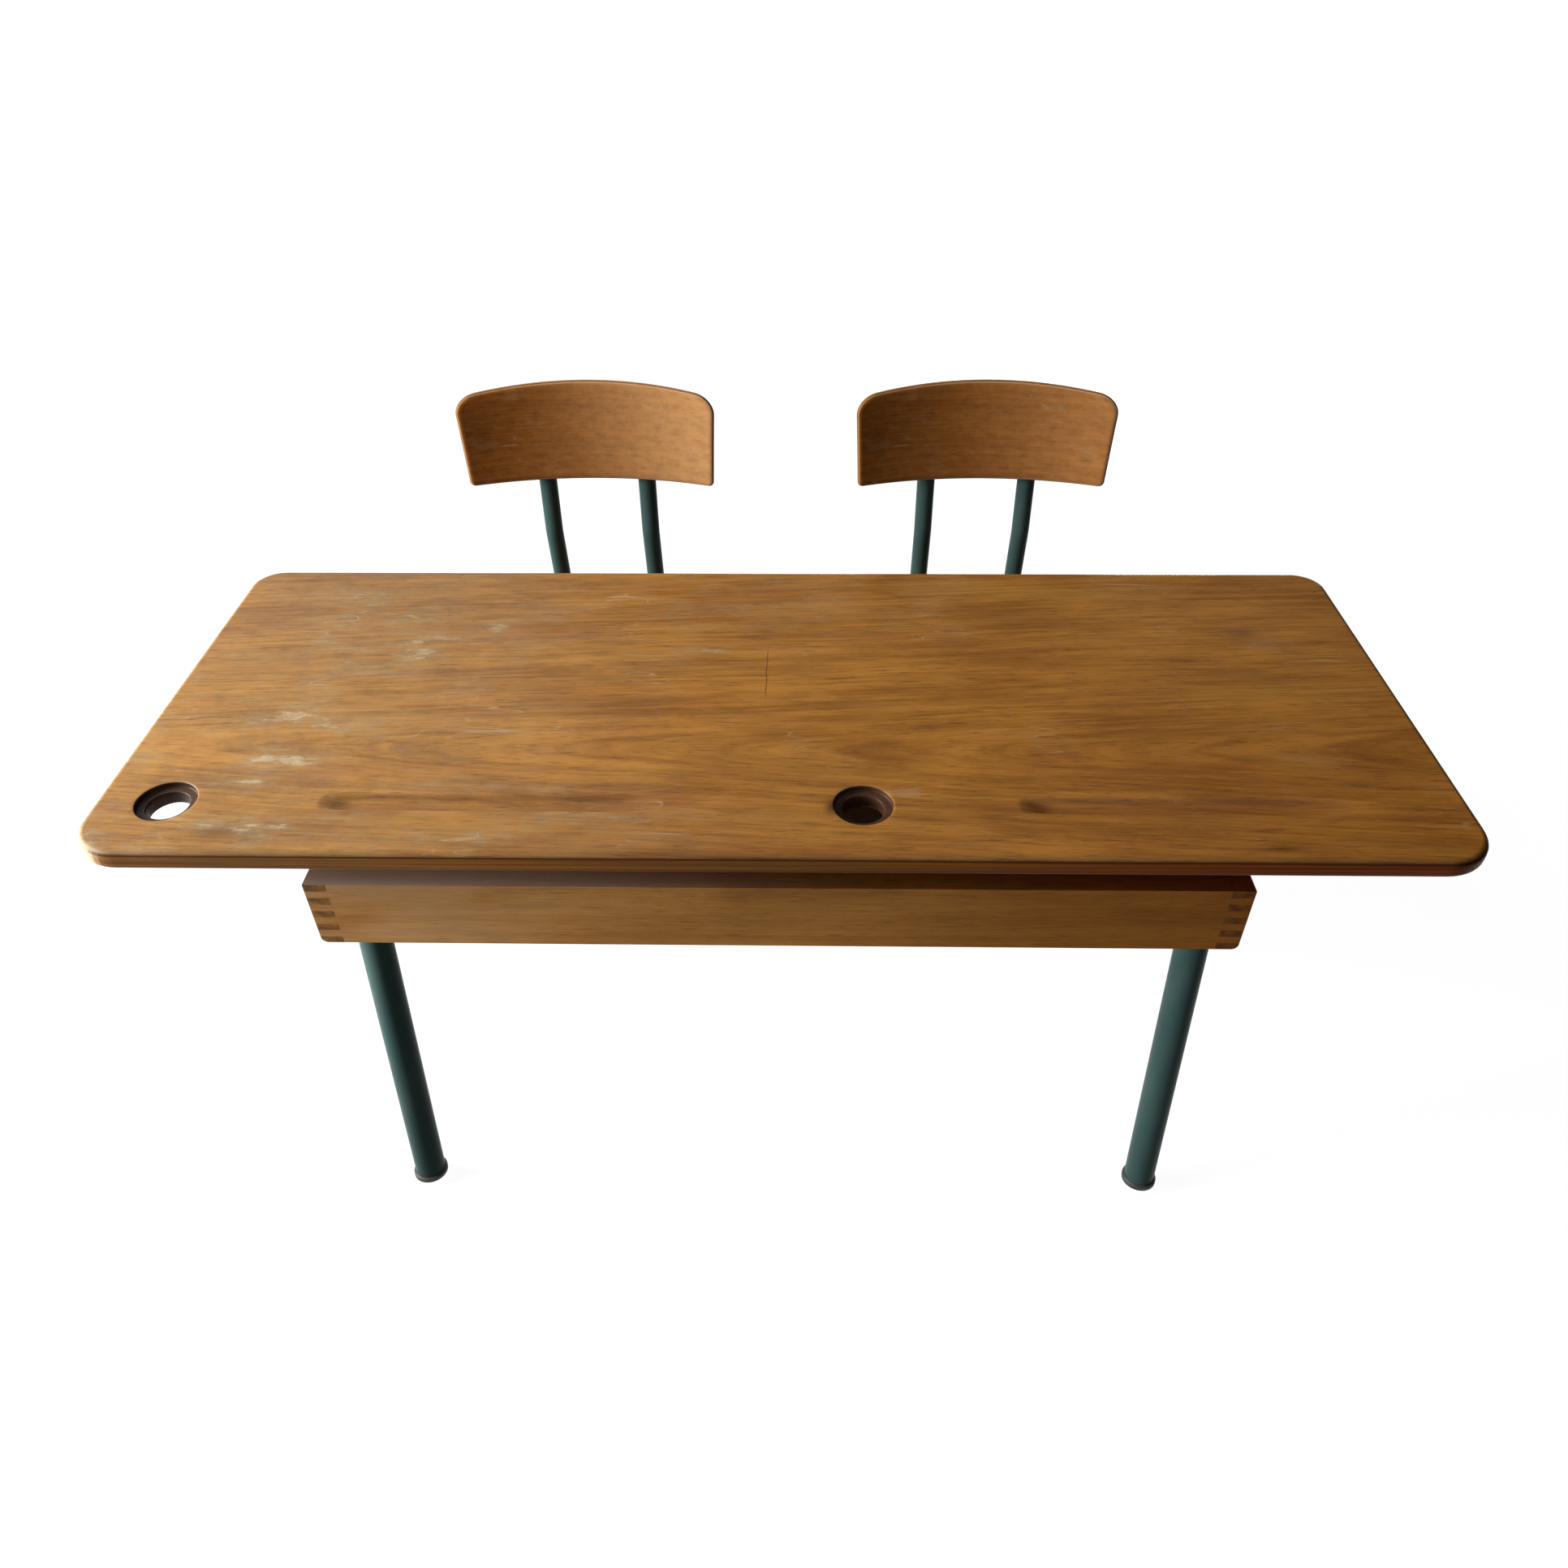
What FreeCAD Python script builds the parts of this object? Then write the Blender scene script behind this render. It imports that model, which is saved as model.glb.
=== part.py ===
import FreeCAD, Part
import math
import os
import re
import types
import Sketcher

# Double school desk with a plywood top on two tube leg frames, a comb-jointed
# book box under the top, and the two tube chairs that stand behind it.
# Frame: +Z up, +X along the desk, +Y from the desk towards the chairs.
# The origin is on the floor, in the middle of the ground that the set covers.
# Depths in the list are counted from the front edge of the desk top.

SIZES = [
    # Desk top
    ("top_width", 1200, "length of the desk top along X"),
    ("top_depth", 478, "depth of the desk top"),
    ("top_thick", 18, "thickness of the plywood top"),
    ("desk_height", 640, "upper face of the top above the floor"),
    ("top_corner", 32, "corner radius of the top in plan"),
    ("top_edge", 6, "rounding of the top's edges"),
    ("place_pitch", 612, "distance between the two pupils' places"),
    ("ink_middle", -230.5, "middle of the two inkwells along X"),
    ("ink_depth", 70, "inkwell centres behind the front edge"),
    ("ink_bore", 37, "diameter of the inkwell's through hole"),
    ("ink_rebate", 52, "diameter of the rebate for the inkwell's rim"),
    ("ink_rebate_deep", 5, "depth of that rebate"),
    ("groove_middle", 55.5, "middle of the two pen grooves along X"),
    ("groove_depth", 70.5, "centre line of the grooves behind the front edge"),
    ("groove_length", 305, "length of a pen groove"),
    ("groove_width", 20, "width of a pen groove"),
    ("groove_deep", 6, "depth of a pen groove"),
    ("groove_corner", 8, "end corner radius of a groove in plan"),
    ("groove_round", 4, "hollow radius along a groove's floor"),
    # Leg frames and cross tubes
    ("leg_tube", 35, "outer diameter of the leg tube"),
    ("leg_wall", 2, "wall of the leg tube"),
    ("frame_spacing", 872, "distance between the two leg frames"),
    ("front_foot", 110, "front foot behind the front edge of the top"),
    ("rear_foot", 520, "rear foot behind the front edge of the top"),
    ("leg_rake", 7.4, "lean of each leg in degrees"),
    ("leg_bend", 70, "bend radius on the leg tube's centre line"),
    ("cross_tube", 30, "outer diameter of a cross tube"),
    ("cross_wall", 1.5, "wall of a cross tube"),
    ("cross_spacing", 116, "distance between the two cross tubes"),
    ("weld_gap", 0.1, "gap left around a coped and welded tube end"),
    # Desk glides
    ("glide_radius", 20, "rim radius of a desk glide"),
    ("glide_dome", 26, "sphere radius of its domed sole"),
    ("glide_height", 16, "sole to tube end"),
    ("glide_lip", 2, "bevel at its upper rim"),
    ("glide_stem", 18, "length of the stem inside the tube"),
    ("plug_gap", 0.2, "gap between a stem and its tube"),
    # Book box
    ("box_width", 822, "outer width of the book box"),
    ("box_height", 72, "height of the box panels"),
    ("box_depth", 335, "outer depth of the box"),
    ("box_setback", 15, "box front behind the front edge of the top"),
    ("box_board", 20, "thickness of the front and side panels"),
    ("box_round", 6, "rounding of the sides' lower outer edges"),
    ("comb_finger", 8, "height of a corner finger, the topmost takes what is left"),
    ("comb_gap", 0.1, "play between neighbouring fingers"),
    ("floor_thick", 6, "thickness of the box bottom"),
    ("floor_rise", 8, "underside of the bottom above the panels' lower edge"),
    ("floor_bite", 7, "how far the bottom sits in its grooves"),
    ("floor_gap", 0.2, "play of the bottom in its grooves"),
    ("divider_thick", 15, "thickness of the middle divider"),
    # Steel hangers and lugs
    ("plate_thick", 3, "thickness of hangers and lugs"),
    ("plate_width", 25, "width of hangers and lugs"),
    ("hanger_arm", 32, "length of a hanger's arm under the top"),
    ("hanger_drop", 50, "length of a hanger's leg on the box side"),
    ("hanger_front", 85, "front hangers behind the front edge of the top"),
    ("hanger_rear", 322, "rear hangers behind the front edge of the top"),
    ("lug_length", 42, "length of a lug from the rail's middle outwards"),
    ("lug_spacing", 90, "distance between the two lugs of one frame"),
    ("plate_screw", 4.5, "shank diameter of the plate screws"),
    ("plate_head", 9, "head diameter of the plate screws"),
    ("plate_bite", 12, "depth of the plate screws in the wood"),
    ("head_height", 2.2, "height of a screw head"),
    ("screw_gap", 0.1, "gap between a screw and its hole"),
    # Chairs
    ("chair_spacing", 540, "distance between the middles of the chairs"),
    ("chair_shift", -4.6, "middle between the chairs along X, as they stand"),
    ("chair_tube", 25, "outer diameter of the chair tubes"),
    ("chair_wall", 1.5, "wall of the chair tubes"),
    ("chair_bend", 60, "bend radius on the chair tubes' centre line"),
    ("upright_spacing", 142, "distance between the two uprights"),
    ("upright_bend", 495, "height of the bend in the uprights"),
    ("upright_short", 30, "upright ends below the top of the backrest"),
    ("rear_rake", 8, "lean of the rear legs in degrees"),
    ("splay_height", 285, "height where the rear legs start to spread"),
    ("foot_spread", 250, "distance between the feet of a chair"),
    ("chair_front_foot", 532, "chair's front feet behind the desk's front edge"),
    ("front_rake", 3, "lean of the chair's front legs in degrees"),
    ("seat_height", 380, "upper face of the seat above the floor"),
    ("seat_thick", 10, "thickness of the plywood seat"),
    ("seat_depth", 340, "depth of the seat"),
    ("seat_front_width", 360, "width of the seat at its front edge"),
    ("seat_rear_width", 320, "width of the seat at its rear edge"),
    ("seat_corner", 45, "corner radius of the seat in plan"),
    ("seat_edge", 3.5, "rounding of the seat's edges"),
    ("seat_gap", 8, "gap between the seat and the uprights"),
    ("bar_tube", 16, "outer diameter of the cross bars"),
    ("bar_wall", 1.5, "wall of the cross bars"),
    ("front_bar_in", 100, "front bar behind the seat's front edge"),
    ("rear_bar_height", 318, "height of the rear bar"),
    ("back_width", 350, "width of the backrest at its upper corners"),
    ("back_foot", 340, "width of the backrest at its lower edge"),
    ("back_height", 137.5, "height of the backrest in the middle"),
    ("back_arch", 14, "rise of its upper edge"),
    ("back_corner", 28, "radius of its upper corners"),
    ("back_toe", 5, "radius of its lower corners"),
    ("back_thick", 10, "thickness of the backrest"),
    ("back_curve", 455, "radius of its hollow face"),
    ("back_edge", 4.4, "rounding of its edges"),
    ("back_tilt", 4, "lean of backrest and uprights in degrees"),
    ("back_face", 848.2, "lower edge of its hollow face behind the desk's front edge"),
    ("back_rise", 580.2, "lower edge of the backrest above the floor"),
    ("back_gap", 0.2, "gap between backrest and uprights"),
    ("chair_screw", 5, "shank diameter of the chair screws"),
    ("chair_head", 10, "head diameter of the chair screws"),
    ("chair_bite", 7, "depth of the chair screws in the plywood"),
    ("seat_screw_front", 65, "front seat screws behind the seat's front edge"),
    ("seat_screw_rear", 55, "rear seat screws before the seat's rear edge"),
    ("back_screw_low", 42, "lower backrest screws above its lower edge"),
    ("back_screw_high", 90, "upper backrest screws above its lower edge"),
    # Chair glides and plugs
    ("shoe_radius", 15, "rim radius of a chair glide"),
    ("shoe_dome", 18.5, "sphere radius of its domed sole"),
    ("shoe_height", 13, "sole to tube end"),
    ("shoe_lip", 1.5, "bevel at its upper rim"),
    ("shoe_stem", 14, "length of the stem inside the tube"),
    ("plug_height", 3, "height of a plug's head on an upright"),
    ("plug_stem", 12, "length of a plug's stem"),
]

Vector = FreeCAD.Vector
UP = Vector(0, 0, 1)

doc = FreeCAD.newDocument("school_desk_set")
sheet = doc.addObject("Spreadsheet::Sheet", "sizes")
for row, (name, number, note) in enumerate(SIZES, 1):
    sheet.set(f"A{row}", note)
    sheet.set(f"B{row}", str(number))
    sheet.setAlias(f"B{row}", name)
doc.recompute()
S = types.SimpleNamespace(**{name: float(sheet.get(name)) for name, number, note in SIZES})
nodes = []


def bound(text):
    """Sheet expression for a formula that names sizes, such as 'top_width / 2'."""
    return re.sub(r"[a-z_]+", lambda word: f"sizes.{word[0]}" if hasattr(S, word[0]) else word[0], text)


def number_of(text):
    return float(sheet.evalExpression(bound(text)))


# Sketches

def new_sketch(body, name, role):
    sketch = body.newObject("Sketcher::SketchObject", name)
    plane = next(item for item in body.Origin.OriginFeatures if item.Role == role)
    sketch.AttachmentSupport = [(plane, "")]
    sketch.MapMode = "FlatFace"
    return sketch


def drive(sketch, constraint, name, formula):
    index = sketch.addConstraint(constraint)
    sketch.renameConstraint(index, name)
    sketch.setExpression("Constraints." + name, bound(formula))


def hold_point(sketch, line, end, x, y):
    """Hold one end of a line at the formulas x and y, counted from the sketch's origin."""
    for axis, kind, formula in ((-2, "DistanceX", x), (-1, "DistanceY", y)):
        if formula == "0":
            sketch.addConstraint(Sketcher.Constraint("PointOnObject", line, end, axis))
        else:
            constraint = Sketcher.Constraint(kind, -1, 1, line, end, number_of(formula))
            drive(sketch, constraint, f"{kind}_{line}_{end}", formula)


def left_arc(start, end, radius):
    """Arc from start to end that turns left, less than half a circle."""
    chord = end - start
    middle = (start + end) * 0.5
    left = Vector(-chord.y, chord.x, 0).normalize()
    centre = middle + left * math.sqrt(max(radius ** 2 - chord.Length ** 2 / 4, 0))
    angles = [math.atan2(point.y - centre.y, point.x - centre.x) for point in (start, end)]
    return Part.ArcOfCircle(Part.Circle(centre, UP, radius), *angles)


def outline(sketch, corners):
    """Closed outline through corners (x, y) given as formulas.

    A third formula makes the edge after that corner an arc that turns left, or
    right if it starts with a minus sign, with that radius.
    """
    points = [Vector(number_of(corner[0]), number_of(corner[1]), 0) for corner in corners]
    ends = []
    for index, corner in enumerate(corners):
        start = points[index]
        stop = points[(index + 1) % len(points)]
        if len(corner) == 2:
            edge = sketch.addGeometry(Part.LineSegment(start, stop), False)
            ends.append((edge, 1, 2))
            continue
        radius = corner[2].lstrip("-")
        turns_left = not corner[2].startswith("-")
        from_to = (start, stop) if turns_left else (stop, start)
        edge = sketch.addGeometry(left_arc(*from_to, number_of(radius)), False)
        ends.append((edge, 1, 2) if turns_left else (edge, 2, 1))
    for index, corner in enumerate(corners):
        edge, first, last = ends[index]
        following, its_first, its_last = ends[(index + 1) % len(ends)]
        sketch.addConstraint(Sketcher.Constraint("Coincident", edge, last, following, its_first))
        hold_point(sketch, edge, first, corner[0], corner[1])
        if len(corner) == 3:
            radius = corner[2].lstrip("-")
            drive(sketch, Sketcher.Constraint("Radius", edge, number_of(radius)), f"radius_{edge}", radius)


def rectangle(sketch, left, right, low, high):
    outline(sketch, [(left, low), (right, low), (right, high), (left, high)])


def circle(sketch, x, y, radius):
    centre = Vector(number_of(x), number_of(y), 0)
    edge = sketch.addGeometry(Part.Circle(centre, UP, number_of(radius)), False)
    hold_point(sketch, edge, 3, x, y)
    drive(sketch, Sketcher.Constraint("Radius", edge, number_of(radius)), f"radius_{edge}", radius)


# Features

def new_body(name):
    return doc.addObject("PartDesign::Body", name)


def pad(body, sketch, length, reverse=False, middle=False):
    feature = body.newObject("PartDesign::Pad", sketch.Name + "_pad")
    feature.Profile = sketch
    feature.setExpression("Length", bound(length))
    feature.Reversed = reverse
    if middle:
        feature.SideType = "Symmetric"
    doc.recompute()
    return feature


def pocket(body, sketch, length=None, reverse=False):
    """Cut the sketch to a depth, or right through both ways where no depth is given."""
    before = body.Shape.Volume
    feature = body.newObject("PartDesign::Pocket", sketch.Name + "_cut")
    feature.Profile = sketch
    feature.Reversed = reverse
    if length is None:
        feature.SideType = "Symmetric"
        feature.Type = "ThroughAll"
    else:
        feature.setExpression("Length", bound(length))
    doc.recompute()
    if body.Shape.Volume >= before:
        raise RuntimeError(f"{feature.Name} cuts nothing")
    return feature


def revolve(body, sketch):
    feature = body.newObject("PartDesign::Revolution", sketch.Name + "_turn")
    feature.Profile = sketch
    feature.ReferenceAxis = (sketch, ["V_Axis"])
    feature.Angle = 360
    doc.recompute()
    return feature


def fillet(body, name, base, radius, test):
    """Round the edges of a feature for which test(edge's middle, edge) holds."""
    picked = []
    for index, edge in enumerate(base.Shape.Edges, 1):
        first, last = edge.ParameterRange
        if test(edge.valueAt((first + last) / 2), edge):
            picked.append(f"Edge{index}")
    feature = body.newObject("PartDesign::Fillet", name)
    feature.Base = (base, picked)
    feature.setExpression("Radius", bound(radius))
    doc.recompute()
    return feature


def near(one, other):
    return abs(one - other) < 1e-4


def stands(edge):
    """True for an edge parallel to Z."""
    return near(edge.BoundBox.XLength, 0) and near(edge.BoundBox.YLength, 0)


# Finished sub-parts

def keep(item, label):
    """Name a finished sub-part and put it on the list of those that are written out."""
    item.Label = label
    nodes.append(item)
    return item


def feature_of(shape, name):
    item = doc.addObject("Part::Feature", name)
    item.Shape = shape
    return item


def group(label, shape, places):
    """Copies of one shape, a separate solid at each place, as one sub-part."""
    copies = []
    for place in places:
        copy = shape.copy()
        copy.Placement = place
        copies.append(copy)
    return keep(feature_of(Part.makeCompound(copies), label), label)


def drilled(label, body, holes):
    """The body with round holes (start, direction, radius, length) drilled in its placed shape."""
    drills = [Part.makeCylinder(radius, length, start, way) for start, way, radius, length in holes]
    cut = doc.addObject("Part::Cut", label)
    cut.Base = body
    cut.Tool = feature_of(Part.makeCompound(drills), label + "_drills")
    doc.recompute()
    return keep(cut, label)


def at(point, way=UP):
    return FreeCAD.Placement(point, FreeCAD.Rotation(UP, way))


# Tubes bent in space

def bent_rod(points, bend, radius):
    """Round rod along straight runs through the points, each corner bent to one radius."""
    edges = []
    start = points[0]
    for before, corner, after in zip(points, points[1:], points[2:]):
        back = (before - corner).normalize()
        ahead = (after - corner).normalize()
        half = back.getAngle(ahead) / 2
        enter = corner + back * (bend / math.tan(half))
        leave = corner + ahead * (bend / math.tan(half))
        centre = corner + (back + ahead).normalize() * (bend / math.sin(half))
        middle = centre + (corner - centre).normalize() * bend
        edges.append(Part.makeLine(start, enter))
        edges.append(Part.Arc(enter, middle, leave).toShape())
        start = leave
    edges.append(Part.makeLine(start, points[-1]))
    ring = Part.Wire(Part.makeCircle(radius, points[0], points[1] - points[0]))
    return Part.Wire(edges).makePipeShell([ring], True, True)


def chair_rod(points, extra):
    """Rod along a chair tube's path, thicker or thinner than the tube by extra on the radius."""
    return bent_rod(points, S.chair_bend, S.chair_tube / 2 + extra)


def straight_tube(start, end, diameter, wall):
    way = end - start
    outer = Part.makeCylinder(diameter / 2, way.Length, start, way)
    return outer.cut(Part.makeCylinder(diameter / 2 - wall, way.Length, start, way))


# Shapes used more than once

def glide_shape(name, kind, tube, wall):
    """Domed plug turned about Z, its sole touching the ground plane at the axis."""
    body = new_body(name)
    sketch = new_sketch(body, name + "_profile", "XZ_Plane")
    rim = f"{kind}_radius"
    dome = f"{kind}_dome"
    top = f"{kind}_height"
    stem = f"{tube} / 2 - {wall} - plug_gap"
    outline(sketch, [
        ("0", "0", dome),
        (rim, f"{dome} - sqrt({dome} * {dome} - {rim} * {rim})"),
        (rim, f"{top} - {kind}_lip"),
        (f"{rim} - {kind}_lip", top),
        (stem, top),
        (stem, f"{top} + {kind}_stem"),
        ("0", f"{top} + {kind}_stem"),
    ])
    revolve(body, sketch)
    return body.Shape


def screw_shape(name, kind, length):
    """Round-headed screw turned about Z: the head below the ground plane, the shank above it."""
    body = new_body(name)
    sketch = new_sketch(body, name + "_profile", "XZ_Plane")
    head = f"{kind}_head / 2"
    shank = f"{kind}_screw / 2"
    cap = f"({head} * {head} + head_height * head_height) / (2 * head_height)"
    outline(sketch, [
        ("0", "- head_height", cap),
        (head, "0"),
        (shank, "0"),
        (shank, f"{length} - {shank}"),
        ("0", length),
    ])
    revolve(body, sketch)
    return body.Shape


def plug_shape():
    """Flat-domed plug for an upright's open end: the head above the ground plane, the stem below it."""
    body = new_body("plug")
    sketch = new_sketch(body, "plug_profile", "XZ_Plane")
    head = "chair_tube / 2"
    stem = "chair_tube / 2 - chair_wall - plug_gap"
    cap = f"({head} * {head} + plug_height * plug_height) / (2 * plug_height)"
    outline(sketch, [
        ("0", "- plug_stem"),
        (stem, "- plug_stem"),
        (stem, "0"),
        (head, "0", cap),
        ("0", "plug_height"),
    ])
    revolve(body, sketch)
    return body.Shape


# Paths of the chair's tubes, in the chair's own frame: X from its middle,
# Y from the desk's front edge, Z from the floor. side is -1 or 1.

def back_place():
    """Place of the backrest: the middle of the lower edge of its hollow face."""
    lean = FreeCAD.Rotation(Vector(1, 0, 0), -S.back_tilt)
    return FreeCAD.Placement(Vector(0, S.back_face, S.back_rise), lean)


def upright_point(side, height):
    """Point of the upright's centre line, height along the backrest above its lower edge."""
    reach = S.back_curve + S.back_thick + S.back_gap + S.chair_tube / 2
    across = S.upright_spacing / 2
    behind = math.sqrt(reach ** 2 - across ** 2) - S.back_curve
    return back_place().multVec(Vector(side * across, behind, height))


def rear_line(side, height):
    """Point of the rear tube below its bend, in its upright plane."""
    foot = upright_point(side, 0)
    bend_y = foot.y + (S.upright_bend - foot.z) * math.tan(math.radians(S.back_tilt))
    back = (S.upright_bend - height) * math.tan(math.radians(S.rear_rake))
    return Vector(foot.x, bend_y + back, height)


def rear_sole(side):
    """Centre of the domed sole under a rear leg."""
    return Vector(side * S.foot_spread / 2, rear_line(side, S.shoe_dome).y, S.shoe_dome)


def front_sole(side):
    return Vector(side * S.foot_spread / 2, S.chair_front_foot, S.shoe_dome)


def above_sole(sole, corner, height, dome):
    """Point on a leg's axis at a height along the axis above its sole."""
    return sole + (corner - sole).normalize() * (height - dome)


def rear_path(side):
    corner = rear_line(side, S.splay_height)
    start = above_sole(rear_sole(side), corner, S.shoe_height, S.shoe_dome)
    end = upright_point(side, S.back_height - S.upright_short)
    return [start, corner, rear_line(side, S.upright_bend), end]


def rail_height():
    return S.seat_height - S.seat_thick - S.chair_tube / 2


def rail_start(side):
    sole = front_sole(side)
    back = (rail_height() - sole.z) * math.tan(math.radians(S.front_rake))
    return Vector(sole.x, sole.y + back, rail_height())


def rail_point(side, y):
    """Point of the seat rail's centre line at a depth y."""
    start = rail_start(side)
    end = rear_line(side, rail_height())
    return start + (end - start) * ((y - start.y) / (end.y - start.y))


def front_path(side):
    """The rail stops just short of the rear tube's axis, where its end is coped."""
    corner = rail_start(side)
    start = above_sole(front_sole(side), corner, S.shoe_height, S.shoe_dome)
    joint = rear_line(side, rail_height())
    return [start, corner, joint - (joint - corner).normalize() * S.chair_wall]


def seat_rear_edge():
    return rear_line(1, S.seat_height).y - S.chair_tube / 2 / math.cos(math.radians(S.rear_rake)) - S.seat_gap


# Depth of the whole set, from the desk's front edge to the rims of the chairs' rear glides
rear_axis = (rear_line(1, S.splay_height) - rear_sole(1)).normalize()
rim_below = math.sqrt(S.shoe_dome ** 2 - S.shoe_radius ** 2)
set_depth = rear_sole(1).y - rim_below * rear_axis.y + S.shoe_radius * math.sqrt(1 - rear_axis.y ** 2)
FRONT = Vector(0, -set_depth / 2, 0)
under_top = S.desk_height - S.top_thick
box_top = under_top - S.cross_tube
box_low = box_top - S.box_height


def desk_point(x, y, z):
    """Point given by X, depth behind the desk's front edge and height."""
    return FRONT + Vector(x, y, z)


# Places of the screws under the desk: lugs outside the rails, hangers on the box sides

rail_middle = (S.front_foot + S.rear_foot) / 2
sides = (-1, 1)
lug_spots = [
    (side, desk_point(side * S.frame_spacing / 2, rail_middle + along * S.lug_spacing / 2, under_top))
    for side in sides for along in sides
]
hanger_spots = [
    (side, desk_point(side * S.box_width / 2, depth, under_top))
    for side in sides for depth in (S.hanger_front, S.hanger_rear)
]
lug_hole = S.lug_length - S.plate_width / 2
hanger_hole = S.hanger_arm - S.plate_width / 2
top_screw_spots = [spot + Vector(side * lug_hole, 0, 0) for side, spot in lug_spots]
top_screw_spots += [spot - Vector(side * hanger_hole, 0, 0) for side, spot in hanger_spots]
leg_screw_drops = [S.cross_tube + S.hanger_drop * share for share in (0.3, 0.75)]
side_screw_spots = [
    (side, spot - Vector(0, 0, drop)) for side, spot in hanger_spots for drop in leg_screw_drops
]
plate_hole = S.plate_screw / 2 + S.screw_gap


# Desk top

def build_top():
    body = new_body("desk_top_blank")
    sheet_plan = new_sketch(body, "top_plan", "XY_Plane")
    rectangle(sheet_plan, "- top_width / 2", "top_width / 2", "0", "top_depth")
    board = pad(body, sheet_plan, "top_thick")
    corners = fillet(body, "top_corners", board, "top_corner", lambda middle, edge: stands(edge))
    fillet(body, "top_rim", corners, "top_edge", lambda middle, edge: not stands(edge))
    steps = (("rebate", "ink_rebate / 2", "ink_rebate_deep"), ("bore", "ink_bore / 2", None))
    for name, radius, depth in steps:
        wells = new_sketch(body, "ink_" + name, "XY_Plane")
        wells.setExpression("AttachmentOffset.Base.z", bound("top_thick"))
        for sign in "-+":
            circle(wells, f"ink_middle {sign} place_pitch / 2", "ink_depth", radius)
        pocket(body, wells, depth)
    grooves = new_sketch(body, "pen_grooves", "XY_Plane")
    grooves.setExpression("AttachmentOffset.Base.z", bound("top_thick"))
    for sign in "-+":
        middle = f"groove_middle {sign} place_pitch / 2"
        rectangle(grooves, f"{middle} - groove_length / 2", f"{middle} + groove_length / 2",
                  "groove_depth - groove_width / 2", "groove_depth + groove_width / 2")
    cut = pocket(body, grooves, "groove_deep")
    floor = S.top_thick - S.groove_deep
    half_deep = S.top_thick - S.groove_deep / 2
    ends = fillet(body, "groove_ends", cut, "groove_corner",
                  lambda middle, edge: stands(edge) and near(middle.z, half_deep))
    fillet(body, "groove_floors", ends, "groove_round", lambda middle, edge: near(middle.z, floor)
           and near(edge.BoundBox.ZLength, 0))
    body.Placement.Base = desk_point(0, 0, under_top)
    holes = [(spot, UP, plate_hole, S.plate_bite + S.screw_gap) for spot in top_screw_spots]
    drilled("desk_top", body, holes)


# Leg frames, cross tubes and glides

def build_leg_frame(label, side):
    body = new_body(label)
    path = new_sketch(body, label + "_path", "YZ_Plane")
    rake = math.radians(S.leg_rake)
    above = S.glide_height - S.glide_dome
    spread = (S.rear_foot - S.front_foot) / 2
    foot = Vector(spread - above * math.sin(rake), S.glide_dome + above * math.cos(rake), 0)
    rail = under_top - S.leg_tube / 2
    corner = Vector(foot.x - (rail - foot.y) * math.tan(rake), rail, 0)
    turn = math.pi / 2 - rake
    reach = S.leg_bend * math.tan(turn / 2)
    centre = Vector(corner.x - reach, rail - S.leg_bend, 0)
    low = Vector(corner.x + reach * math.sin(rake), rail - reach * math.cos(rake), 0)
    mirror = [Vector(-point.x, point.y, 0) for point in (foot, low, centre)]
    rear_leg = path.addGeometry(Part.LineSegment(foot, low), False)
    rear_arc = path.addGeometry(
        Part.ArcOfCircle(Part.Circle(centre, UP, S.leg_bend), rake, math.pi / 2), False)
    top_rail = path.addGeometry(
        Part.LineSegment(Vector(centre.x, rail, 0), Vector(-centre.x, rail, 0)), False)
    front_arc = path.addGeometry(
        Part.ArcOfCircle(Part.Circle(mirror[2], UP, S.leg_bend), math.pi / 2, math.pi - rake), False)
    front_leg = path.addGeometry(Part.LineSegment(mirror[1], mirror[0]), False)
    chain = [rear_leg, rear_arc, top_rail, front_arc, front_leg]
    for one, other in zip(chain, chain[1:]):
        path.addConstraint(Sketcher.Constraint("Tangent", one, 2, other, 1))
    path.addConstraint(Sketcher.Constraint("Horizontal", top_rail))
    sine = "sin(leg_rake * 1 deg)"
    cosine = "cos(leg_rake * 1 deg)"
    out = f"(rear_foot - front_foot) / 2 - (glide_height - glide_dome) * {sine}"
    lift = f"glide_dome + (glide_height - glide_dome) * {cosine}"
    hold_point(path, rear_leg, 1, out, lift)
    hold_point(path, front_leg, 2, f"- ({out})", lift)
    rail_formula = "desk_height - top_thick - leg_tube / 2"
    drive(path, Sketcher.Constraint("DistanceY", -1, 1, top_rail, 1, rail), "rail", rail_formula)
    for name, arc in (("rear", rear_arc), ("front", front_arc)):
        drive(path, Sketcher.Constraint("Radius", arc, S.leg_bend), name + "_bend", "leg_bend")
    lean = math.pi / 2 + rake
    drive(path, Sketcher.Constraint("Angle", rear_leg, lean), "rear_lean", "(90 + leg_rake) * 1 deg")
    drive(path, Sketcher.Constraint("Angle", front_leg, -lean), "front_lean", "(- 90 - leg_rake) * 1 deg")
    ring = new_sketch(body, label + "_ring", "XZ_Plane")
    circle(ring, "0", rail_formula, "leg_tube / 2")
    circle(ring, "0", rail_formula, "leg_tube / 2 - leg_wall")
    doc.recompute()
    tube = body.newObject("PartDesign::AdditivePipe", label + "_tube")
    tube.Profile = ring
    tube.Spine = path
    doc.recompute()
    body.Placement.Base = desk_point(side * S.frame_spacing / 2, rail_middle, 0)
    keep(body, label)


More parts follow.
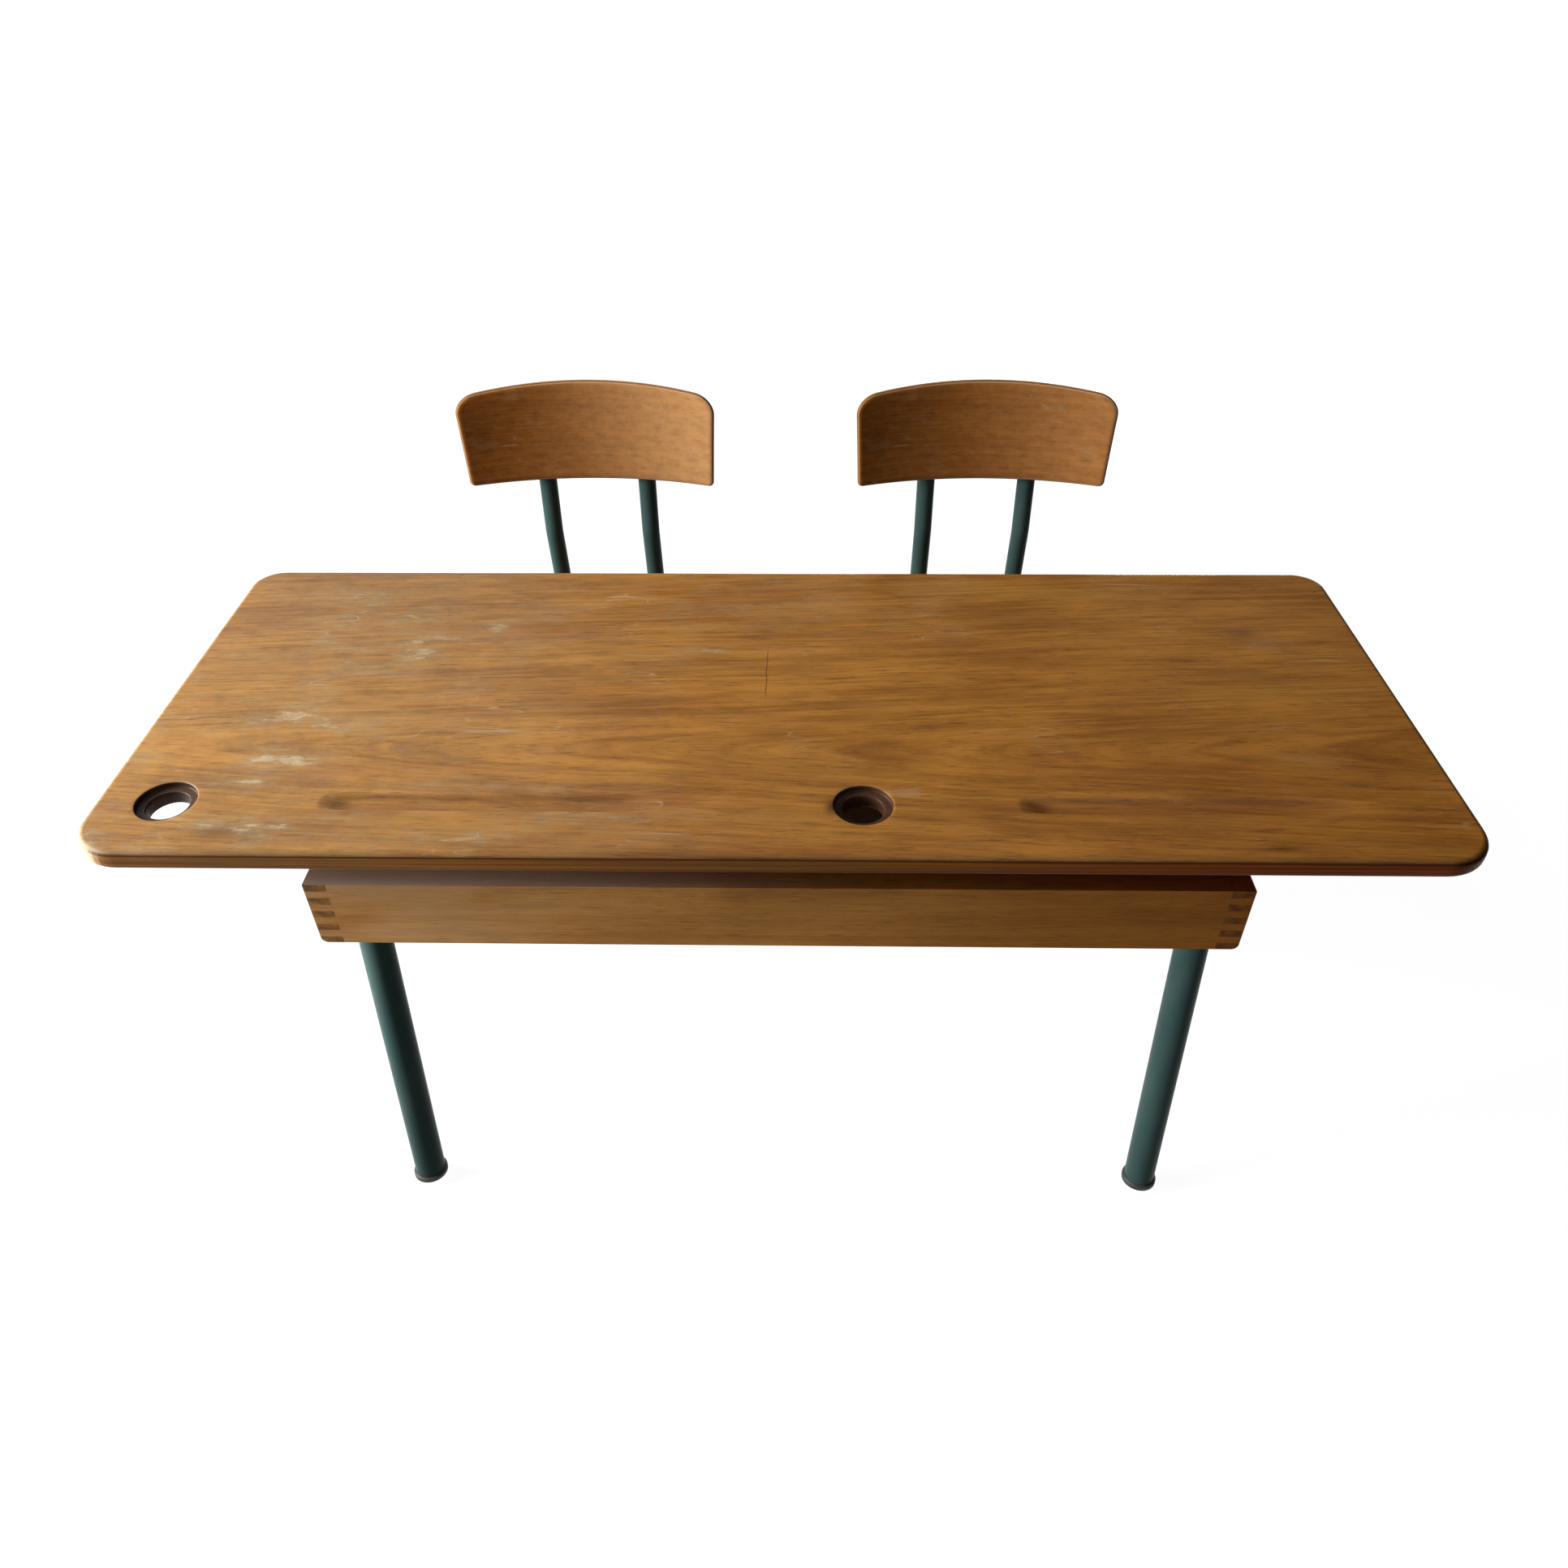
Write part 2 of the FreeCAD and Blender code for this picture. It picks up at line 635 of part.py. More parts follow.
def build_cross_tube(label, along):
    """Tube between the frames, touching the top, its ends coped to the rails."""
    body = new_body(label)
    ring = new_sketch(body, label + "_ring", "YZ_Plane")
    circle(ring, "0", "0", "cross_tube / 2")
    circle(ring, "0", "0", "cross_tube / 2 - cross_wall")
    pad(body, ring, "frame_spacing", middle=True)
    copes = new_sketch(body, label + "_copes", "XZ_Plane")
    for x in ("- frame_spacing / 2", "frame_spacing / 2"):
        circle(copes, x, "(cross_tube - leg_tube) / 2", "leg_tube / 2 + weld_gap")
    pocket(body, copes)
    depth = rail_middle + along * S.cross_spacing / 2
    body.Placement.Base = desk_point(0, depth, under_top - S.cross_tube / 2)
    keep(body, label)


def build_desk_glides():
    rake = math.radians(S.leg_rake)
    places = []
    for side in sides:
        for foot, lean in ((S.front_foot, 1), (S.rear_foot, -1)):
            way = Vector(0, lean * math.sin(rake), math.cos(rake))
            sole = desk_point(side * S.frame_spacing / 2, foot, S.glide_dome)
            places.append(at(sole - way * S.glide_dome, way))
    group("desk_glides", glide_shape("desk_glide", "glide", "leg_tube", "leg_wall"), places)


# Book box

def comb(first):
    """Lower and upper ends of every second finger as formulas; an odd number of fingers in all."""
    count = int(S.box_height / S.comb_finger)
    count -= 1 - count % 2
    ends = [f"comb_finger * {index}" for index in range(count)] + ["box_height"]
    return list(zip(ends, ends[1:]))[first::2]


def toothed(edges, tip, root, gap):
    """Corners up one end of a panel: it reaches tip at the given fingers and root between them."""
    corners = []
    for low, high in edges:
        bottom = f"{low} + {gap}"
        top = f"{high} - {gap}"
        corners += [(root, bottom), (tip, bottom), (tip, top), (root, top)]
    return corners


def floor_groove(body, name, role, left, right, offset):
    """Groove for the box bottom along a panel, cut into its inner face at a depth formula."""
    sketch = new_sketch(body, name, role)
    rectangle(sketch, left, right, "floor_rise - floor_gap / 2", "floor_rise + floor_thick + floor_gap / 2")
    sketch.setExpression("AttachmentOffset.Base.z", bound(offset))
    return sketch


def build_box_front():
    body = new_body("box_front_panel")
    face = new_sketch(body, "front_face", "XZ_Plane")
    foot = "box_width / 2 - box_board - comb_gap"
    right = toothed(comb(1), "box_width / 2", foot, "comb_gap / 2")
    left = [(f"- ({x})", z) for x, z in reversed(right)]
    outline(face, [(f"- ({foot})", "0"), (foot, "0")] + right
            + [(foot, "box_height"), (f"- ({foot})", "box_height")] + left)
    pad(body, face, "box_board", reverse=True)
    inner = floor_groove(body, "front_groove", "XZ_Plane", "- box_width / 2 + box_board - floor_bite",
                         "box_width / 2 - box_board + floor_bite", "- box_board")
    pocket(body, inner, "floor_bite", reverse=True)
    body.Placement.Base = desk_point(0, S.box_setback, box_low)
    keep(body, "box_front_panel")


def build_box_side(label, side):
    """Side panel; its own X runs inwards from the outer face on the left, outwards on the right."""
    body = new_body(label + "_blank")
    face = new_sketch(body, label + "_face", "YZ_Plane")
    front = toothed(comb(0), "0", "box_board", "0")
    outline(face, [("box_depth", "0"), ("box_depth", "box_height")] + front[-2:0:-1])
    board = pad(body, face, "box_board")
    outer = 0 if side < 0 else S.box_board
    fillet(body, label + "_foot", board, "box_round",
           lambda middle, edge: near(middle.z, 0) and near(middle.x, outer))
    offset = "box_board" if side < 0 else "0"
    inner = floor_groove(body, label + "_groove", "YZ_Plane", "box_board - floor_bite", "box_depth", offset)
    pocket(body, inner, "floor_bite", reverse=side > 0)
    left_edge = -S.box_width / 2 if side < 0 else S.box_width / 2 - S.box_board
    body.Placement.Base = desk_point(left_edge, S.box_setback, box_low)
    holes = [(spot, Vector(-side, 0, 0), plate_hole, S.plate_bite + S.screw_gap)
             for where, spot in side_screw_spots if where == side]
    drilled(label, body, holes)


def build_box_inside():
    floor = new_body("box_bottom")
    plan = new_sketch(floor, "floor_plan", "XY_Plane")
    reach = "box_width / 2 - box_board + floor_bite - floor_gap"
    rectangle(plan, f"- ({reach})", reach, "box_board - floor_bite + floor_gap", "box_depth")
    pad(floor, plan, "floor_thick")
    floor.Placement.Base = desk_point(0, S.box_setback, box_low + S.floor_rise)
    keep(floor, "box_bottom")
    divider = new_body("box_divider")
    face = new_sketch(divider, "divider_face", "YZ_Plane")
    rectangle(face, "box_board", "box_depth", "floor_rise + floor_thick", "box_height")
    pad(divider, face, "divider_thick", middle=True)
    divider.Placement.Base = desk_point(0, S.box_setback, box_low)
    keep(divider, "box_divider")


# Hangers, lugs and their screws

def build_plates():
    hanger = new_body("hanger")
    angle = new_sketch(hanger, "hanger_angle", "XZ_Plane")
    outline(angle, [
        ("0", "- cross_tube - hanger_drop"), ("plate_thick", "- cross_tube - hanger_drop"),
        ("plate_thick", "0"), ("- hanger_arm", "0"),
        ("- hanger_arm", "- plate_thick"), ("0", "- plate_thick"),
    ])
    pad(hanger, angle, "plate_width", middle=True)
    shape = hanger.Shape.copy()
    arm_hole = Part.makeCylinder(plate_hole, S.plate_thick * 2, Vector(-hanger_hole, 0, -S.plate_thick * 1.5))
    drills = [arm_hole]
    for drop in leg_screw_drops:
        start = Vector(-S.plate_thick / 2, 0, -drop)
        drills.append(Part.makeCylinder(plate_hole, S.plate_thick * 2, start, Vector(1, 0, 0)))
    shape = shape.cut(Part.makeCompound(drills))
    turned = FreeCAD.Rotation(UP, 180)
    straight = FreeCAD.Rotation()
    group("box_hangers", shape,
          [FreeCAD.Placement(spot, straight if side > 0 else turned) for side, spot in hanger_spots])
    lug = new_body("lug")
    plan = new_sketch(lug, "lug_plan", "XY_Plane")
    rectangle(plan, "0", "lug_length", "- plate_width / 2", "plate_width / 2")
    pad(lug, plan, "plate_thick", reverse=True)
    rail = Part.makeCylinder(S.leg_tube / 2 + S.weld_gap, S.plate_width * 2,
                             Vector(0, -S.plate_width, -S.leg_tube / 2), Vector(0, 1, 0))
    hole = Part.makeCylinder(plate_hole, S.plate_thick * 2, Vector(lug_hole, 0, -S.plate_thick * 1.5))
    shape = lug.Shape.cut(rail).cut(hole)
    group("fixing_lugs", shape,
          [FreeCAD.Placement(spot, straight if side > 0 else turned) for side, spot in lug_spots])
    screw = screw_shape("plate_screw_master", "plate", "plate_thick + plate_bite")
    down = Vector(0, 0, -S.plate_thick)
    group("top_screws", screw, [at(spot + down) for spot in top_screw_spots])
    group("box_screws", screw, [at(spot + Vector(side * S.plate_thick, 0, 0), Vector(-side, 0, 0))
                                for side, spot in side_screw_spots])


# Chairs

def seat_screw_points():
    rear = seat_rear_edge()
    depths = (rear - S.seat_depth + S.seat_screw_front, rear - S.seat_screw_rear)
    under = Vector(0, 0, S.chair_tube / 2)
    return [(side, rail_point(side, depth) - under) for side in sides for depth in depths]


def back_screw_points():
    """Head seats of the backrest screws and the way they point, from behind into the plywood."""
    reach = S.back_curve + S.back_thick + S.back_gap + S.chair_tube
    place = back_place()
    points = []
    for side in sides:
        turn = math.asin(S.upright_spacing / 2 / (reach - S.chair_tube / 2))
        out = Vector(side * math.sin(turn), math.cos(turn), 0)
        for height in (S.back_screw_low, S.back_screw_high):
            seat = out * reach + Vector(0, -S.back_curve, height)
            points.append((side, place.multVec(seat), place.Rotation.multVec(out * -1)))
    return points


def build_seat(name, chair):
    body = new_body(name + "_seat_blank")
    plan = new_sketch(body, name + "_seat_plan", "XY_Plane")
    outline(plan, [
        ("- seat_front_width / 2", "- seat_depth"), ("seat_front_width / 2", "- seat_depth"),
        ("seat_rear_width / 2", "0"), ("- seat_rear_width / 2", "0"),
    ])
    board = pad(body, plan, "seat_thick")
    corners = fillet(body, name + "_seat_corners", board, "seat_corner", lambda middle, edge: stands(edge))
    fillet(body, name + "_seat_rim", corners, "seat_edge", lambda middle, edge: not stands(edge))
    body.Placement.Base = chair + Vector(0, seat_rear_edge(), S.seat_height - S.seat_thick)
    hole = S.chair_screw / 2 + S.screw_gap
    reach = S.chair_tube + S.chair_bite + S.screw_gap
    drilled(name + "_seat", body, [(chair + point, UP, hole, reach) for side, point in seat_screw_points()])


def build_backrest(name, chair):
    """Curved board cut from a bent sheet: hollow towards the sitter, arched above, tapered below."""
    body = new_body(name + "_backrest_blank")
    band = new_sketch(body, name + "_back_band", "XY_Plane")
    reach = "back_width / 2 + back_thick"
    inner = f"sqrt(back_curve * back_curve - ({reach}) * ({reach})) - back_curve"
    outer_curve = "(back_curve + back_thick)"
    outer = f"sqrt({outer_curve} * {outer_curve} - ({reach}) * ({reach})) - back_curve"
    outline(band, [
        (f"- ({reach})", inner, "-back_curve"), (reach, inner),
        (reach, outer, outer_curve), (f"- ({reach})", outer),
    ])
    pad(body, band, "back_height")
    face = new_sketch(body, name + "_back_face", "XZ_Plane")
    shoulder = "back_height - back_arch"
    half = "back_width / 2"
    arch = f"({half} * {half} + back_arch * back_arch) / (2 * back_arch)"
    outline(face, [
        ("- back_foot / 2", "0"), ("back_foot / 2", "0"), (half, shoulder, arch), (f"- {half}", shoulder),
    ])
    margin = "back_width"
    rectangle(face, f"- {margin}", margin, f"- {margin}", f"2 * {margin}")
    trimmed = pocket(body, face)
    upper = S.back_height - S.back_arch
    tops = fillet(body, name + "_back_corners", trimmed, "back_corner",
                  lambda middle, edge: near(middle.z, upper) and near(edge.BoundBox.XLength, 0))
    toes = fillet(body, name + "_back_toes", tops, "back_toe",
                  lambda middle, edge: near(middle.z, 0) and near(edge.BoundBox.XLength, 0))
    fillet(body, name + "_back_rim", toes, "back_edge", lambda middle, edge: not across_board(middle, edge))
    body.Placement = FreeCAD.Placement(chair, FreeCAD.Rotation()) * back_place()
    hole = S.chair_screw / 2 + S.screw_gap
    reach = S.chair_tube + S.back_gap + S.chair_bite + S.screw_gap
    drilled(name + "_backrest", body,
            [(chair + point, way, hole, reach) for side, point, way in back_screw_points()])


def across_board(middle, edge):
    """True for an edge that runs through the backrest's thickness."""
    first, last = edge.ParameterRange
    start = edge.valueAt(first)
    end = edge.valueAt(last)
    radii = [math.hypot(point.x, point.y + S.back_curve) for point in (start, end)]
    return abs(radii[0] - radii[1]) > S.back_thick / 2


def build_chair_tubes(name, chair):
    hole = S.chair_screw / 2 + S.screw_gap
    overrun = S.chair_wall
    through = S.chair_tube + 2 * overrun
    for side, word in zip(sides, ("left", "right")):
        path = rear_path(side)
        shape = chair_rod(path, 0).cut(chair_rod(path, -S.chair_wall))
        for where, point, way in back_screw_points():
            if where == side:
                shape = shape.cut(Part.makeCylinder(hole, through, point - way * overrun, way))
        place_tube(f"{name}_{word}_rear_tube", shape, chair)
        path = front_path(side)
        shape = chair_rod(path, 0).cut(chair_rod(path, -S.chair_wall))
        shape = shape.cut(chair_rod(rear_path(side), S.weld_gap))
        for where, point in seat_screw_points():
            if where == side:
                shape = shape.cut(Part.makeCylinder(hole, through, point - UP * overrun, UP))
        place_tube(f"{name}_{word}_front_tube", shape, chair)


def place_tube(label, shape, chair):
    item = feature_of(shape, label)
    item.Placement.Base = chair
    keep(item, label)


def build_chair_bars(name, chair):
    """Cross bars between the seat rails and between the rear legs, coped at both ends."""
    depth = seat_rear_edge() - S.seat_depth + S.front_bar_in
    front = [rail_point(side, depth) for side in sides]
    rear = [rear_line(side, S.rear_bar_height) for side in sides]
    for label, ends, path in (("front_bar", front, front_path), ("rear_bar", rear, rear_path)):
        shape = straight_tube(ends[0], ends[1], S.bar_tube, S.bar_wall)
        for side in sides:
            shape = shape.cut(chair_rod(path(side), S.weld_gap))
        place_tube(f"{name}_{label}", shape, chair)


def build_chair_fittings(name, chair, shoe, plug, screw):
    shoes = []
    plugs = []
    for side in sides:
        rear_leg = (rear_sole(side), rear_line(side, S.splay_height))
        front_leg = (front_sole(side), rail_start(side))
        for sole, corner in (rear_leg, front_leg):
            way = (corner - sole).normalize()
            shoes.append(at(chair + sole - way * S.shoe_dome, way))
        path = rear_path(side)
        plugs.append(at(chair + path[-1], path[-1] - path[-2]))
    group(name + "_glides", shoe, shoes)
    group(name + "_tube_plugs", plug, plugs)
    group(name + "_seat_screws", screw, [at(chair + point) for side, point in seat_screw_points()])
    group(name + "_backrest_screws", screw,
          [at(chair + point, way) for side, point, way in back_screw_points()])


# Building order: desk first, then the two chairs

build_top()
build_leg_frame("left_leg_frame", -1)
build_leg_frame("right_leg_frame", 1)
build_cross_tube("front_cross_tube", -1)
build_cross_tube("rear_cross_tube", 1)
build_desk_glides()
build_box_front()
build_box_side("box_left_side", -1)
build_box_side("box_right_side", 1)
build_box_inside()
build_plates()
shoe = glide_shape("chair_glide", "shoe", "chair_tube", "chair_wall")
plug = plug_shape()
screw = screw_shape("chair_screw_master", "chair", "chair_tube + chair_bite")
for name, side in (("left_chair", -1), ("right_chair", 1)):
    chair = desk_point(S.chair_shift + side * S.chair_spacing / 2, 0, 0)
    build_seat(name, chair)
    build_backrest(name, chair)
    build_chair_tubes(name, chair)
    build_chair_bars(name, chair)
    build_chair_fittings(name, chair, shoe, plug, screw)
doc.recompute()

for item in doc.Objects:
    if "Invalid" in item.State or "Error" in item.State:
        raise RuntimeError(f"{item.Label} failed: {item.State}")
for item in nodes:
    if item.Shape.isNull() or not item.Shape.isValid():
        raise RuntimeError(f"{item.Label} has no valid shape")

os.makedirs("parts", exist_ok=True)
for item in nodes:
    item.Shape.exportStep(f"parts/{item.Label}.step")
    box = item.Shape.BoundBox
    print(f"{item.Label}: {len(item.Shape.Solids)} solids, {item.Shape.Volume / 1000:.1f} cm3, "
          f"x {box.XMin:.1f}..{box.XMax:.1f} y {box.YMin:.1f}..{box.YMax:.1f} "
          f"z {box.ZMin:.1f}..{box.ZMax:.1f}")
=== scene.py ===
import math

import bpy
import numpy as np
from bpy.props import FloatProperty, FloatVectorProperty, PointerProperty
from mathutils import Euler, Matrix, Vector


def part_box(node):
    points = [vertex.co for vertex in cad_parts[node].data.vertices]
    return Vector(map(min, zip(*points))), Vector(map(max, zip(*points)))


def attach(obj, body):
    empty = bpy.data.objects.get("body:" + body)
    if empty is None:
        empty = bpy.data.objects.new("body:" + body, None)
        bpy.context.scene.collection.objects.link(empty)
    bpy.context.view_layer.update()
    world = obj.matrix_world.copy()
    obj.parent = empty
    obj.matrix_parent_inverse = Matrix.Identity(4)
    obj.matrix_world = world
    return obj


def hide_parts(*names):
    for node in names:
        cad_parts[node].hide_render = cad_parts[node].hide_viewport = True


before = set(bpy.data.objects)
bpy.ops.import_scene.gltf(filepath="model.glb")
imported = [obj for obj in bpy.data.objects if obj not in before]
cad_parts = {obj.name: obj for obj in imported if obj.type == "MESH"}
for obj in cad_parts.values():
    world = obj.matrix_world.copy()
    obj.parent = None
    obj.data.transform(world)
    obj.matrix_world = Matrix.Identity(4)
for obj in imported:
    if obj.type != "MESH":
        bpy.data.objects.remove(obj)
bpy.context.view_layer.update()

bl_info = {
    "name": "Double School Desk",
    "version": (1, 0, 0),
    "blender": (4, 5, 0),
    "location": "3D View > Sidebar > School Desk",
    "description": "Dresses a two-place school desk and its chairs in worn plywood and enamelled tube",
    "category": "Object",
}

TOP_LOW, TOP_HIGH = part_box("desk_top")
CHAIRS = ("left_chair", "right_chair")
MM = 0.001
PLY_PAIR = 3.2 * MM  # two plies of a chair board
ARC_LINES = 13  # grid lines over a corner's quarter turn
RING_STEPS = 72  # steps of a weld bead round its joint
SECTION_STEPS = 10  # steps round a bead's section


# Properties

def length(name, text, size):
    """Length in metres."""
    return FloatProperty(name=name, description=text, default=size, unit="LENGTH", precision=4)


def angle(name, text, degrees):
    """Angle given in degrees."""
    return FloatProperty(name=name, description=text, default=math.radians(degrees), subtype="ANGLE")


def share(name, text, part):
    """Share from 0 to 1."""
    return FloatProperty(name=name, description=text, default=part, min=0.0, max=1.0, subtype="FACTOR")


def colour(name, text, tone):
    """Colour in linear red, green and blue."""
    return FloatVectorProperty(name=name, description=text, default=tone, min=0.0, max=1.0, subtype="COLOR")


class DESK_PG_top(bpy.types.PropertyGroup):
    """Sizes of the desk top that its box does not give."""
    corner: length("Corner", "Radius of the far corners", 0.032)
    near_corner: length("Near corner", "Radius of the worn near corners", 0.045)
    edge: length("Edge", "Rounding of the edges", 0.006)
    ink_first: length("First inkwell", "First inkwell along X", -0.5365)
    groove_first: length("First groove", "Middle of the first pen groove along X", -0.2505)
    pitch: length("Pitch", "Distance between the two pupils' places", 0.612)
    ink_depth: length("Inkwell depth", "Inkwell centres behind the front edge", 0.070)
    ink_rebate: length("Rebate radius", "Radius of an inkwell's rebate", 0.026)
    ink_step: length("Rebate depth", "Depth of that rebate", 0.005)
    ink_bore: length("Bore radius", "Radius of an inkwell's through hole", 0.0185)
    groove_depth: length("Groove place", "Centre line of the grooves behind the front edge", 0.0705)
    groove_length: length("Groove length", "Length of a pen groove", 0.305)
    groove_width: length("Groove width", "Width of a pen groove", 0.020)
    groove_deep: length("Groove depth", "Depth of a pen groove", 0.005)
    groove_corner: length("Groove corner", "Corner radius of a groove's ends", 0.008)
    groove_run: length("Groove run-out", "Length over which a groove's left end rises", 0.033)
    groove_lip: length("Groove lip", "Worn edge outside a groove's outline", 0.0025)
    groove_wall: length("Groove wall", "Width over which a groove's side falls", 0.0075)
    groove_past: length("Groove past", "Worn end outside a groove's outline", 0.002)


class DESK_PG_chair(bpy.types.PropertyGroup):
    """Sizes of the chairs' boards."""
    back_width: length("Back width", "Width at the upper corners", 0.350)
    back_foot: length("Back foot", "Width at the lower edge", 0.340)
    back_height: length("Back height", "Height in the middle", 0.13748)
    back_arch: length("Back arch", "Rise of the upper edge", 0.014)
    back_corner: length("Back corner", "Radius of the upper corners", 0.028)
    back_toe: length("Back toe", "Radius of the lower corners", 0.008)
    back_thick: length("Back thickness", "Thickness of the board", 0.010)
    back_curve: length("Back curve", "Radius of the hollow face", 0.455)
    back_edge: length("Back edge", "Rounding of the edges, in from the outline", 0.0075)
    back_round: length("Back round", "The same rounding, down from the faces", 0.0047)
    back_tilt: angle("Back tilt", "Lean of the backrest", 4.0)
    back_face: length("Back place", "Hollow face behind the desk's front edge", 0.8482)
    back_rise: length("Back rise", "Lower edge above the floor", 0.5802)
    seat_front: length("Seat front", "Width at the front edge", 0.360)
    seat_rear: length("Seat rear", "Width at the rear edge", 0.320)
    seat_corner: length("Seat corner", "Corner radius in plan", 0.045)
    seat_edge: length("Seat edge", "Rounding of the edges", 0.0035)


class DESK_PG_weld(bpy.types.PropertyGroup):
    """Places and size of the weld beads."""
    bead: length("Bead", "Radius of a weld bead's section", 0.0022)
    clear: length("Clear", "Gap between a bead and the top over it", 0.0002)
    tube: length("Chair tube", "Diameter of a chair's tubes", 0.025)
    leg_half: length("Leg frames", "Half the distance of the leg frames' rails", 0.436)
    rear_half: length("Rear tubes", "Half the distance of the rear tubes at the seat", 0.071)
    rear_lean: angle("Rear lean", "Lean of the rear tubes above their lower bend", 8.0)
    rail_half: length("Seat rails", "Half the distance of the rails at the front bar", 0.11427)
    rail_turn: angle("Rail turn", "Turn of the seat rails towards the chair's middle", 9.314)


class DESK_PG_finish(bpy.types.PropertyGroup):
    """Colours of the finishes."""
    top_light: colour("Top light", "Light bands of the grain", (0.47, 0.205, 0.037))
    top_dark: colour("Top dark", "Dark bands of the grain", (0.235, 0.088, 0.0135))
    top_gold: colour("Top gold", "Yellow clouds", (0.44, 0.225, 0.050))
    top_brown: colour("Top brown", "Red-brown clouds", (0.32, 0.105, 0.018))
    top_pore: colour("Top pores", "Pores and short flecks", (0.085, 0.030, 0.008))
    top_film: colour("Top film", "Varnish that is dull but not worn off", (0.31, 0.225, 0.125))
    top_worn: colour("Top worn", "Veneer where the varnish is worn off", (0.50, 0.375, 0.225))
    top_stain: colour("Top stain", "Red stain along the grooves", (0.27, 0.085, 0.022))
    # Dark ply colour, partly painted shade
    top_shaded_core: colour("Top core", "Inner plies on the edge", (0.11, 0.050, 0.020))
    top_glue: colour("Top glue", "Glue lines on the edge", (0.045, 0.020, 0.009))
    # Pale wood and painted light on the edge's faces turned to the window
    top_bare_lit_edge: colour("Top bare", "Bare wood on the left edge", (0.60, 0.51, 0.32))
    ink: colour("Ink", "Ink and dirt", (0.036, 0.017, 0.012))
    box_light: colour("Box light", "Light bands", (0.36, 0.170, 0.046))
    box_dark: colour("Box dark", "Dark bands", (0.25, 0.110, 0.027))
    box_end: colour("Box end grain", "End grain at the box corners", (0.06, 0.024, 0.007))
    # Dust together with painted light from the window
    box_lit_dust: colour("Box dust", "Dust on the box's upper edges", (0.64, 0.53, 0.49))
    bottom_light: colour("Bottom light", "Light bands", (0.46, 0.31, 0.16))
    bottom_dark: colour("Bottom dark", "Dark bands", (0.33, 0.20, 0.095))
    chair_light: colour("Chair light", "Light bands", (0.36, 0.125, 0.021))
    chair_dark: colour("Chair dark", "Dark bands", (0.235, 0.073, 0.009))
    # Pale colour of the painted sheen
    chair_painted_sheen: colour("Chair pale", "Bleached chair veneer", (0.52, 0.30, 0.135))
    chair_core: colour("Chair core", "Plies on the boards' edges", (0.42, 0.29, 0.17))
    chair_haze: colour("Chair haze", "Soft shine of the chair varnish", (1.0, 0.72, 0.38))
    # Shares of the painted sheen towards one end of the boards
    left_painted_sheen: share("Left bleach", "Bleach at one end of the left backrest", 0.62)
    right_painted_sheen: share("Right bleach", "Bleach at one end of the right backrest", 0.27)
    seat_painted_sheen: share("Seat bleach", "Bleach at one end of the seats", 0.15)
    enamel: colour("Enamel", "Enamel on the tubes", (0.033, 0.066, 0.064))
    enamel_thin: colour("Thin enamel", "Enamel where it is rubbed", (0.046, 0.080, 0.076))
    enamel_chip: colour("Chips", "Primer in the enamel's chips", (0.10, 0.085, 0.07))
    rubber: colour("Rubber", "Glides and tube plugs", (0.012, 0.012, 0.011))
    rubber_dust: colour("Rubber dust", "Scuffed rubber near the floor", (0.09, 0.085, 0.078))
    steel: colour("Steel", "Hangers and screws", (0.21, 0.205, 0.195))
    rust: colour("Rust", "Rust spots on the steel", (0.13, 0.055, 0.022))


class DESK_PG_stage(bpy.types.PropertyGroup):
    """Camera and light."""
    camera: FloatVectorProperty(name="Camera", description="Camera from the middle of the desk's front edge",
                                default=(0.0244, -0.7113, 1.3051), subtype="TRANSLATION", unit="LENGTH")
    pitch: angle("Pitch", "Camera tilt up from straight down", 50.59)
    yaw: angle("Yaw", "Camera turn about Z", 1.313)
    roll: angle("Roll", "Camera roll about its own axis", -0.52)
    lens: FloatProperty(name="Lens", description="Focal length", default=27.08, unit="CAMERA")
    window: FloatProperty(name="Window", description="Power of the window light", default=205.0, unit="POWER")
    room: share("Room", "Strength of the light from all around", 0.17)
    floor_glow: share("Floor glow", "White near the desk that no shadow takes away", 0.95)


# Surfaces

def spaced(*stops):
    """Grid lines through stops (place, step), about step apart up to the next stop."""
    runs = [np.linspace(start, end, max(2, math.ceil((end - start) / step) + 1))[:-1]
            for (start, step), (end, _) in zip(stops, stops[1:])]
    return np.concatenate(runs + [[stops[-1][0]]])


def corner_lines(start, end, near, far, step):
    """Grid lines from start to end, at even turns of the corner arcs of radius near and far."""
    turn = np.linspace(0, np.pi / 2, ARC_LINES)
    first = start + near * (1 - np.cos(turn))
    last = end - far * (1 - np.cos(turn[::-1]))
    middle = np.linspace(first[-1], last[0], max(2, math.ceil((last[0] - first[-1]) / step) + 1))
    return np.concatenate([first, middle[1:-1], last])


def corner_inset(reach, radius):
    """How far a round corner draws the side in, at t from the end: r - sqrt(r^2 - (r - t)^2)."""
    left = radius - np.clip(reach, 0, radius)
    return radius - np.sqrt(np.maximum(radius ** 2 - left ** 2, 0))


def width_lines(count):
    """Grid lines over a board's width, from -1 to 1 with a narrow strip at each side."""
    return np.concatenate([[-1], np.linspace(-0.995, 0.995, count), [1]])


def lattice(xs, ys):
    """Sheet of quads on two sets of grid lines: points (i, j, xy) and cells (i, j, four point numbers)."""
    points = np.stack(np.meshgrid(xs, ys, indexing="ij"), -1)
    index = np.arange(points[..., 0].size).reshape(len(xs), len(ys))
    cells = np.stack([index[:-1, :-1], index[1:, :-1], index[1:, 1:], index[:-1, 1:]], -1)
    return points, cells


def border(quads):
    """Edges that only one quad has, as pairs of point numbers with the sheet on their left."""
    edges = np.stack([quads, np.roll(quads, -1, axis=1)], -1).reshape(-1, 2)
    key = edges.min(1) * (quads.max() + 1) + edges.max(1)
    _, first, count = np.unique(key, return_index=True, return_counts=True)
    return edges[first[count == 1]]


